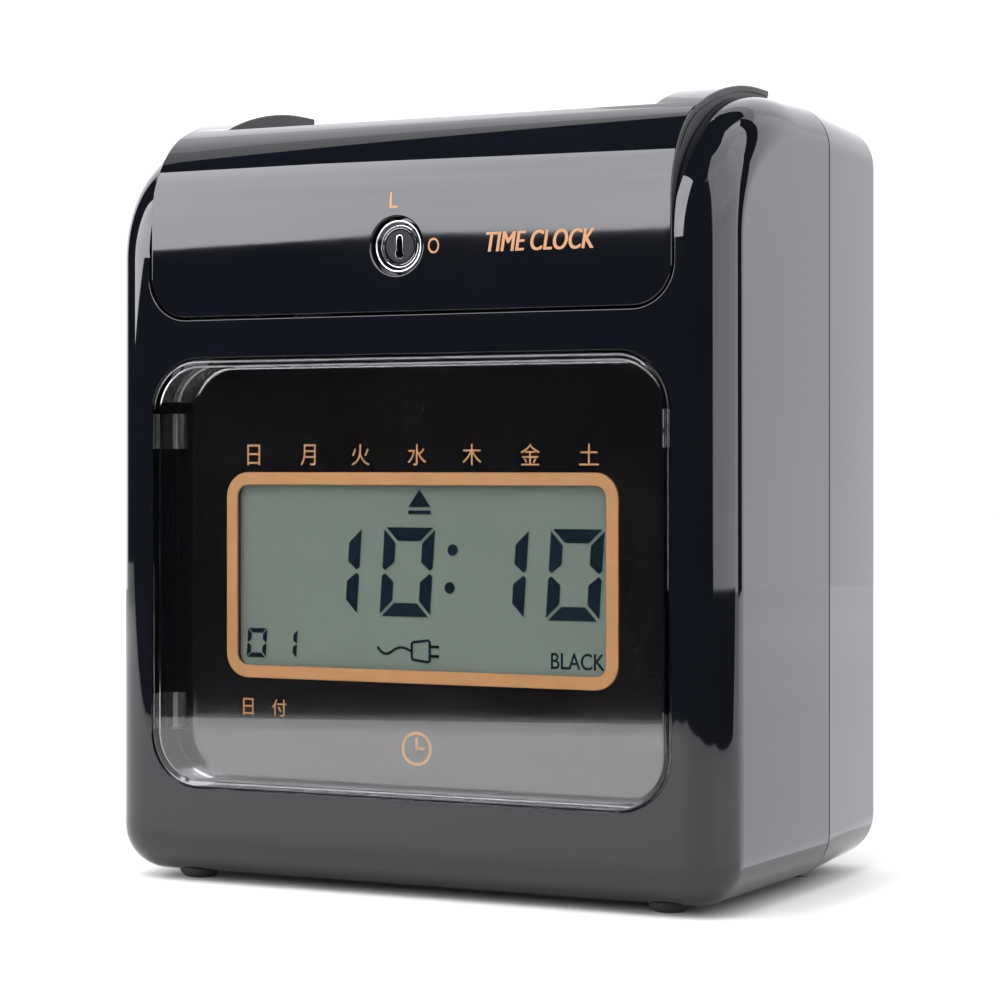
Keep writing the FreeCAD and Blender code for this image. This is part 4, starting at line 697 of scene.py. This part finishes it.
def stroke_shape(points, width):
    """An outline of even width along a line."""
    left, right = [], []
    for k, point in enumerate(points):
        before, after = points[max(k - 1, 0)], points[min(k + 1, len(points) - 1)]
        way = Vector((after[0] - before[0], after[1] - before[1])).normalized()
        left.append((point[0] - way.y * width / 2, point[1] + way.x * width / 2))
        right.append((point[0] + way.y * width / 2, point[1] - way.x * width / 2))
    return left + right[::-1]


def make_display():
    shapes = []
    for digit, x in TIME_DIGITS:
        shapes += segments(digit, (x, 76.4), 15.9, 24.7, 3.8)
    for digit, x in DATE_DIGITS:
        shapes += segments(digit, (x, 63.8), 6.4, 8.3, 1.35)
    # the colon, the day's pointer and its bar
    shapes += [circle(10.5, 95.0, 1.6, 32), circle(9.6, 84.6, 1.6, 32)]
    shapes += [[(-3.3, 106.7), (3.7, 106.7), (0.2, 111.6)],
               [(-3.3, 104.7), (3.7, 104.7), (3.7, 105.8), (-3.3, 105.8)]]
    # the plug: its cord, its body and two pins
    wave = [(-13.0, 67.9), (-12.2, 66.8), (-11.0, 66.1), (-9.8, 66.0), (-8.5, 66.7), (-7.2, 67.5),
            (-5.8, 67.9), (-4.2, 67.7), (-2.3, 66.9)]
    body = [(-2.2, 64.9), (-1.8, 64.6), (3.0, 64.0), (3.4, 64.3), (3.4, 69.7), (3.0, 70.0),
            (-1.8, 69.4), (-2.2, 69.1), (-2.2, 64.9)]
    shapes += [stroke_shape(wave, 0.75), stroke_shape(body, 0.75)]
    shapes += [stroke_shape([(3.4, z), (6.3, z)], 0.8) for z in (68.3, 65.7)]
    made = flat_shape("marks", shapes, GLASS_FACE, MARK)
    place(made, "display_marks", "case", FINISHES["lcd_ink"])
    # the faint shadow that the marks throw on the display's backing, to the right and down
    fallen = [[(a + 0.5, b - 0.45) for a, b in shape] for shape in shapes]
    made = flat_shape("shade", fallen, GLASS_FACE, SHADOW)
    place(made, "display_shade", "case", FINISHES["lcd_shade"])
    word = text_shape("BLACK", (40.4, 63.3), (16.0, 4.5), GLASS_FACE, MARK, weight=0.012)
    place(word, "display_word", "case", FINISHES["lcd_ink"])


def text_shape(words, corner, size, y, thick, lean=0.0, weight=0.0, face=None):
    """Lettering from the built-in typeface, stretched to a size in X and Z.

    It stands out forwards from y, or from a curved face that is given as a function of height."""
    curve = bpy.data.curves.new("words", "FONT")
    curve.body = words
    curve.shear = lean
    curve.offset = weight
    curve.resolution_u = 8
    made = bpy.data.objects.new("words", curve)
    bpy.context.scene.collection.objects.link(made)
    graph = bpy.context.evaluated_depsgraph_get()
    mesh = bpy.data.meshes.new_from_object(made.evaluated_get(graph))
    bpy.data.objects.remove(made)
    low = [min(v.co[k] for v in mesh.vertices) for k in (0, 1)]
    high = [max(v.co[k] for v in mesh.vertices) for k in (0, 1)]
    shape = bmesh.new()
    shape.from_mesh(mesh)
    bmesh.ops.remove_doubles(shape, verts=shape.verts, dist=1e-5)
    if face:
        # cut across, so that the letters can bend with the face
        rows = 12
        for k in range(1, rows):
            level = low[1] + (high[1] - low[1]) * k / rows
            bmesh.ops.bisect_plane(shape, geom=shape.verts[:] + shape.edges[:] + shape.faces[:],
                                   plane_co=(0, level, 0), plane_no=(0, 1, 0))
    for vert in shape.verts:
        x = corner[0] + (vert.co.x - low[0]) / (high[0] - low[0]) * size[0]
        z = corner[1] + (vert.co.y - low[1]) / (high[1] - low[1]) * size[1]
        vert.co = (x, face(z) if face else y, z)
    grown = bmesh.ops.extrude_face_region(shape, geom=shape.faces[:])
    for item in grown["geom"]:
        if isinstance(item, bmesh.types.BMVert):
            item.co.y -= thick
    bmesh.ops.recalc_face_normals(shape, faces=shape.faces)
    shape.to_mesh(mesh)
    shape.free()
    made = bpy.data.objects.new("words", mesh)
    bpy.context.scene.collection.objects.link(made)
    return made


def make_labels():
    glyphs = []
    for signs, foot, tall in ((WEEK_SIGNS, 118.2, 5.9), (DATE_SIGNS, 47.4, 4.8)):
        for sign, x, wide in signs:
            glyphs.append(text_shape(sign, (x - wide / 2, foot), (wide, tall), PANEL_FACE, PRINT))
    # the small clock face: a ring and two hands
    raised = PANEL_FACE - PRINT
    steps = ((4.7, PANEL_FACE), (4.7, raised), (3.9, raised), (3.9, PANEL_FACE))
    loops = [[lay("y", y, a, b) for a, b in circle(0.0, 40.2, radius, 64)] for radius, y in steps]
    glyphs.append(loft("dial", loops, ring=True))
    hands = [stroke_shape([(0.0, 39.9), (0.0, 43.2)], 0.75),
             stroke_shape([(-0.3, 40.2), (2.5, 40.2)], 0.75)]
    glyphs.append(flat_shape("hands", hands, PANEL_FACE, PRINT))
    made = gather("print", glyphs)
    place(made, "panel_print", "case", FINISHES["copper_deep"])
    # the title is set three times, each a little further along, for bold strokes
    words = [text_shape("TIME CLOCK", (26.4 + 0.17 * k, 175.4), (31.9, 5.4), 0, PRINT + 0.004 * k,
                        lean=WORD_LEAN, face=cover_face) for k in range(3)]
    words += [text_shape("L", (-3.1, 188.4), (2.6, 4.2), 0, PRINT, face=cover_face),
              text_shape("O", (8.8, 175.6), (3.4, 4.2), 0, PRINT, face=cover_face)]
    made = gather("cover_print", words)
    place(made, "cover_print", "cover", FINISHES["copper_print"])


# Lock, feet and inner pieces ---------------------------------------------------------------------


def crest(radius, half, top, foot):
    """Half an ellipse in a lathe profile: a rounded ridge from its outer to its inner foot."""
    turns = [math.radians(22.5 * k) for k in range(9)]
    return [(foot - (foot - top) * math.sin(t), radius + half * math.cos(t)) for t in turns]


def make_lock():
    face, core, side = LOCK_LOW.y, 4.65, 5.85
    steps = [(LOCK_FLOOR, 7.2)] + crest(6.9, 0.3, face, face + 0.3) + [(face + 0.95, 5.8)]
    steps += crest(5.68, 0.12, face + 0.72, face + 0.95) + [(face + 1.3, 5.15)]
    steps += crest(4.95, 0.16, face + 0.8, face + 1.3)
    steps += [(LOCK_HIGH.y, core), (LOCK_HIGH.y, side), (LOCK_FLOOR, side)]
    body = lathe("lock", "y", (LOCK_X, LOCK_Z), steps)
    place(body, "lock_rings", "cover", FINISHES["chrome"], ["lock_body"])
    # the slopes between the bright ridges, picked by their radii, get the black finish: a painted
    # dark reflection on the chrome
    dark_reflection_slopes = ((5.1, 5.55), (5.81, 6.62))
    body.data.materials.append(FINISHES["gloss_black"])
    for polygon in body.data.polygons:
        centre = polygon.center / MM
        radius = math.hypot(centre.x - LOCK_X, centre.z - LOCK_Z)
        polygon.material_index = int(any(low < radius < high for low, high in dark_reflection_slopes))
    front, radius = PLUG_LOW.y + 0.65, 4.55
    steps = [(front, 4.1), (front + 0.08, 4.35), (front + 0.35, radius), (PLUG_HIGH.y, radius)]
    plug = lathe("plug", "y", (LOCK_X, LOCK_Z), steps, ring=False)
    (top, top_radius), (foot, foot_radius) = KEYWAY_TOP, KEYWAY_FOOT
    slot = round_box((LOCK_X - top_radius, LOCK_Z - 2.2), (LOCK_X + top_radius, LOCK_Z + 3.0),
                     0.5, 4)
    depth = (front - 1, front + 5)
    merge(plug, [prism("keyway", "y", depth, slot),
                 rod("foot", "y", (LOCK_X, LOCK_Z + foot), depth, foot_radius, 40)])
    place(plug, "lock_core", "lock", FINISHES["plug_black"], ["lock_plug"])
    inner, outer = (bend(LOCK_X, LOCK_Z + top, top_radius + grow, 0, 180, 12)
                    + bend(LOCK_X, LOCK_Z + foot, foot_radius + grow, 138, 402, 24)
                    for grow in (0.0, 0.2))
    loops = [[lay("y", front + y, a, b) for a, b in edge]
             for edge, y in ((inner, 0.5), (inner, -0.15), (outer, -0.15), (outer, 0.5))]
    rim = loft("rim", loops, ring=True)
    place(rim, "keyway_rim", "lock", FINISHES["chrome"])


def make_feet():
    steps = [(0.4, 3.0), (0.05, 3.4), (0.0, 3.8), (0.12, 4.3), (0.5, 4.9), (1.2, 5.5), (2.0, 5.85),
             (2.8, 6.0), (FOOT_TOP, 6.0)]
    feet = []
    for side in (-1, 1):
        for y in FOOT_YS:
            feet.append(lathe("foot", "z", (side * FOOT_X, y), steps, 64, ring=False))
    place(gather("feet", feet), "feet", "case", FINISHES["rubber"], ["rubber_feet"])


REPLACED = {"front_housing", "rear_housing", "upper_cover", "display_lens", "display_bezel",
            "lock_body", "lock_plug", "rubber_feet"}


# Rounding of the inner parts' edges, and how close corners are welded first, in metres
INNER_RIM, INNER_WELD = 1.5e-4, 1e-6


def dress_frame_nodes():
    """Give every CAD node that stays its own material and fine rounded edges."""
    for name, item in frame["nodes"].items():
        if name in REPLACED:
            continue
        for slot in item.material_slots:
            slot.material = FINISHES[SLOT_OF[name]]
        weld = item.modifiers.new("weld", "WELD")
        weld.merge_threshold = INNER_WELD
        rim = item.modifiers.new("rims", "BEVEL")
        rim.width = INNER_RIM
        rim.segments = 2
        rim.limit_method = "ANGLE"
        rim.angle_limit = math.radians(50)
        rim.use_clamp_overlap = True


# Studio ------------------------------------------------------------------------------------------


def make_floor():
    far = 6000
    corners = [(-far, -far, 0), (far, -far, 0), (far, far, 0), (-far, far, 0)]
    floor = solid("floor", corners, [(0, 1, 2, 3)])
    floor.data.transform(Matrix.Scale(MM, 4))
    floor.data.materials.append(finish("studio_floor", (0.88,) * 3, (0.9,) * 3, (0.6, 0.7),
                                       (2.0, 60.0), 0.02))


def lamp(name, at, aim, size, power):
    """A rectangular lamp, in metres, that is not seen itself, not even in reflections."""
    light = bpy.data.lights.new(name, "AREA")
    light.shape = "RECTANGLE"
    light.size, light.size_y = size
    light.energy = power
    made = bpy.data.objects.new(name, light)
    made.location = at
    made.rotation_euler = (Vector(aim) - Vector(at)).to_track_quat("-Z", "Y").to_euler()
    made.visible_camera = False
    made.visible_glossy = False
    bpy.context.scene.collection.objects.link(made)


def screen(name, corners, glow=0.0, faces=None):
    """A studio screen, in metres, that shows only in reflections: black, or glowing."""
    made = solid(name, corners, faces or [tuple(range(len(corners)))])
    sheet = finish(name + "_sheet", (0.008,) * 3, (0.012,) * 3, (0.9, 1.0),
                   (2.0, 60.0), 0.01, Specular_IOR_Level=0.0)
    if glow:
        tree = sheet.node_tree
        noise = tree.nodes.new("ShaderNodeTexNoise")
        noise.inputs["Scale"].default_value = 2.5
        level = tree.nodes.new("ShaderNodeMapRange")
        level.inputs["To Min"].default_value = 0.8 * glow
        level.inputs["To Max"].default_value = 1.2 * glow
        tree.links.new(noise.outputs["Fac"], level.inputs["Value"])
        shader = tree.nodes["Principled BSDF"]
        shader.inputs["Emission Color"].default_value = (0.95, 0.95, 1.0, 1.0)
        tree.links.new(level.outputs["Result"], shader.inputs["Emission Strength"])
    made.data.materials.append(sheet)
    made.visible_camera = False
    made.visible_shadow = False
    made.visible_diffuse = False


def around(turn, distance, height):
    """A point from its bearing, in degrees from straight ahead towards the clock's right end."""
    turn = math.radians(turn)
    return distance * math.sin(turn), -distance * math.cos(turn), height


def curtain(name, distance, rows, glow=0.0):
    """A screen on a circle round the clock, from rows of (height, first and last bearing)."""
    count = 16
    corners = [around(first + (last - first) * k / count, distance, height)
               for height, first, last in rows for k in range(count + 1)]
    wide = count + 1
    faces = [(r * wide + k, r * wide + k + 1, (r + 1) * wide + k + 1, (r + 1) * wide + k)
             for r in range(len(rows) - 1) for k in range(count)]
    screen(name, corners, glow, faces)


def make_screens():
    """The dark room and the soft boxes that the glossy faces mirror."""
    # walls, table and ceiling, all dark
    curtain("dark_wall", 2.8, ((0.0, -105, 57), (3.4, -105, 50)))
    table = ((-2.8, -0.66), (-0.36, -0.47), (0.06, -0.60), (0.30, -0.47), (0.47, -0.27),
             (0.53, 0.10), (1.9, 0.9), (2.4, -1.5), (2.6, -4.5), (-4.0, -4.5))
    screen("dark_table", [(x, y, 0.004) for x, y in table])
    ceiling = ((-60, 3.2), (-68, 2.3), (-75, 2.1), (-85, 1.84), (-95, 1.7), (-110, 1.6),
               (-130, 1.66), (-140, 1.95), (-155, 2.26), (-180, 2.26), (-195, 2.2), (-202, 1.5),
               (-210, 1.05), (-240, 1.0), (-270, 1.0), (-300, 1.05), (-308, 1.35), (-314, 1.75),
               (-317, 2.25), (-330, 3.0), (-360, 3.4), (-390, 3.4))
    screen("dark_ceiling", [around(turn, far, 3.2) for turn, far in ceiling])
    # soft boxes in front and at the left
    screen("front_box", (around(-70, 1.7, 0.22), around(-8, 1.7, 0.334), around(0, 1.22, 1.74),
                         around(-54, 1.2, 1.70), around(-68, 1.4, 1.15)), 8.0)
    curtain("left_box", 2.0, ((0.0, -150, -107), (2.0, -150, -107)), 2.4)
    curtain("left_high", 2.0, ((2.0, -150, -98), (3.18, -150, -98)), 1.8)
    # soft boxes at the right, and a dark slit between them and those behind
    curtain("right_low", 2.0, ((0.0, 58, 120), (0.9, 56, 117)), 3.1)
    curtain("right_high", 2.0, ((0.9, 56, 117), (1.3, 54, 117), (1.7, 51, 117), (2.2, 47, 117),
                                (2.7, 44, 117), (3.18, 43, 117)), 3.4)
    curtain("right_side", 2.0, ((0.0, 120, 132), (0.9, 117, 127), (1.6, 117, 135),
                                (2.3, 117, 145), (3.18, 117, 156)), 3.1)
    curtain("dark_slit", 1.9, ((0.0, 124, 140), (0.9, 120, 134), (1.6, 128, 142),
                               (2.3, 138, 152), (3.15, 148, 164)))
    # soft boxes behind, above on the right, and low behind the clock
    curtain("rear_near", 2.0, ((0.0, 132, 160), (0.9, 127, 160), (1.6, 135, 160),
                               (2.3, 145, 160)), 1.95)
    curtain("rear_far", 2.0, ((0.0, 160, 205), (2.3, 160, 205)), 1.7)
    screen("right_ceiling", [around(turn, 2.25, 3.22) for turn in (43, 70, 95, 120, 145, 158)]
           + [around(turn, 0.9, 3.22) for turn in (158, 120, 85, 43)], 3.1)
    table = ((0.108, -0.03), (1.4, 1.0), (1.2, 3.0), (-1.2, 3.0), (0.108, 0.075))
    screen("bright_table", [(x, y, 0.003) for x, y in table], 1.95)


def make_studio():
    make_floor()
    world = bpy.data.worlds.new("studio")
    bpy.context.scene.world = world
    world.use_nodes = True
    background = world.node_tree.nodes["Background"]
    background.inputs["Color"].default_value = (1.0, 1.0, 1.0, 1.0)
    background.inputs["Strength"].default_value = 1.15
    lamp("top_box", (-0.1, -0.5, 1.4), (0, 0, 0.1), (1.2, 0.9), 14)
    lamp("left_lamp", (-1.5, -0.2, 0.7), (0, 0, 0.1), (0.6, 1.0), 8)
    make_screens()
    camera = bpy.data.cameras.new("camera")
    camera.sensor_width = 36.0
    camera.lens = 103.8
    camera.shift_y = -0.03385
    camera.clip_start = 0.01
    made = bpy.data.objects.new("camera", camera)
    made.location = (0.3771, -0.7499, 0.1180)
    made.rotation_euler = (math.radians(90), 0, math.radians(26.70))
    bpy.context.scene.collection.objects.link(made)
    bpy.context.scene.camera = made
    bpy.context.scene.view_settings.view_transform = "Standard"


make_case_front()
make_case_rear()
make_cover()
make_window()
make_copper_frame()
make_display()
make_labels()
make_lock()
make_feet()
dress_frame_nodes()
make_studio()

bpy.context.view_layer.update()
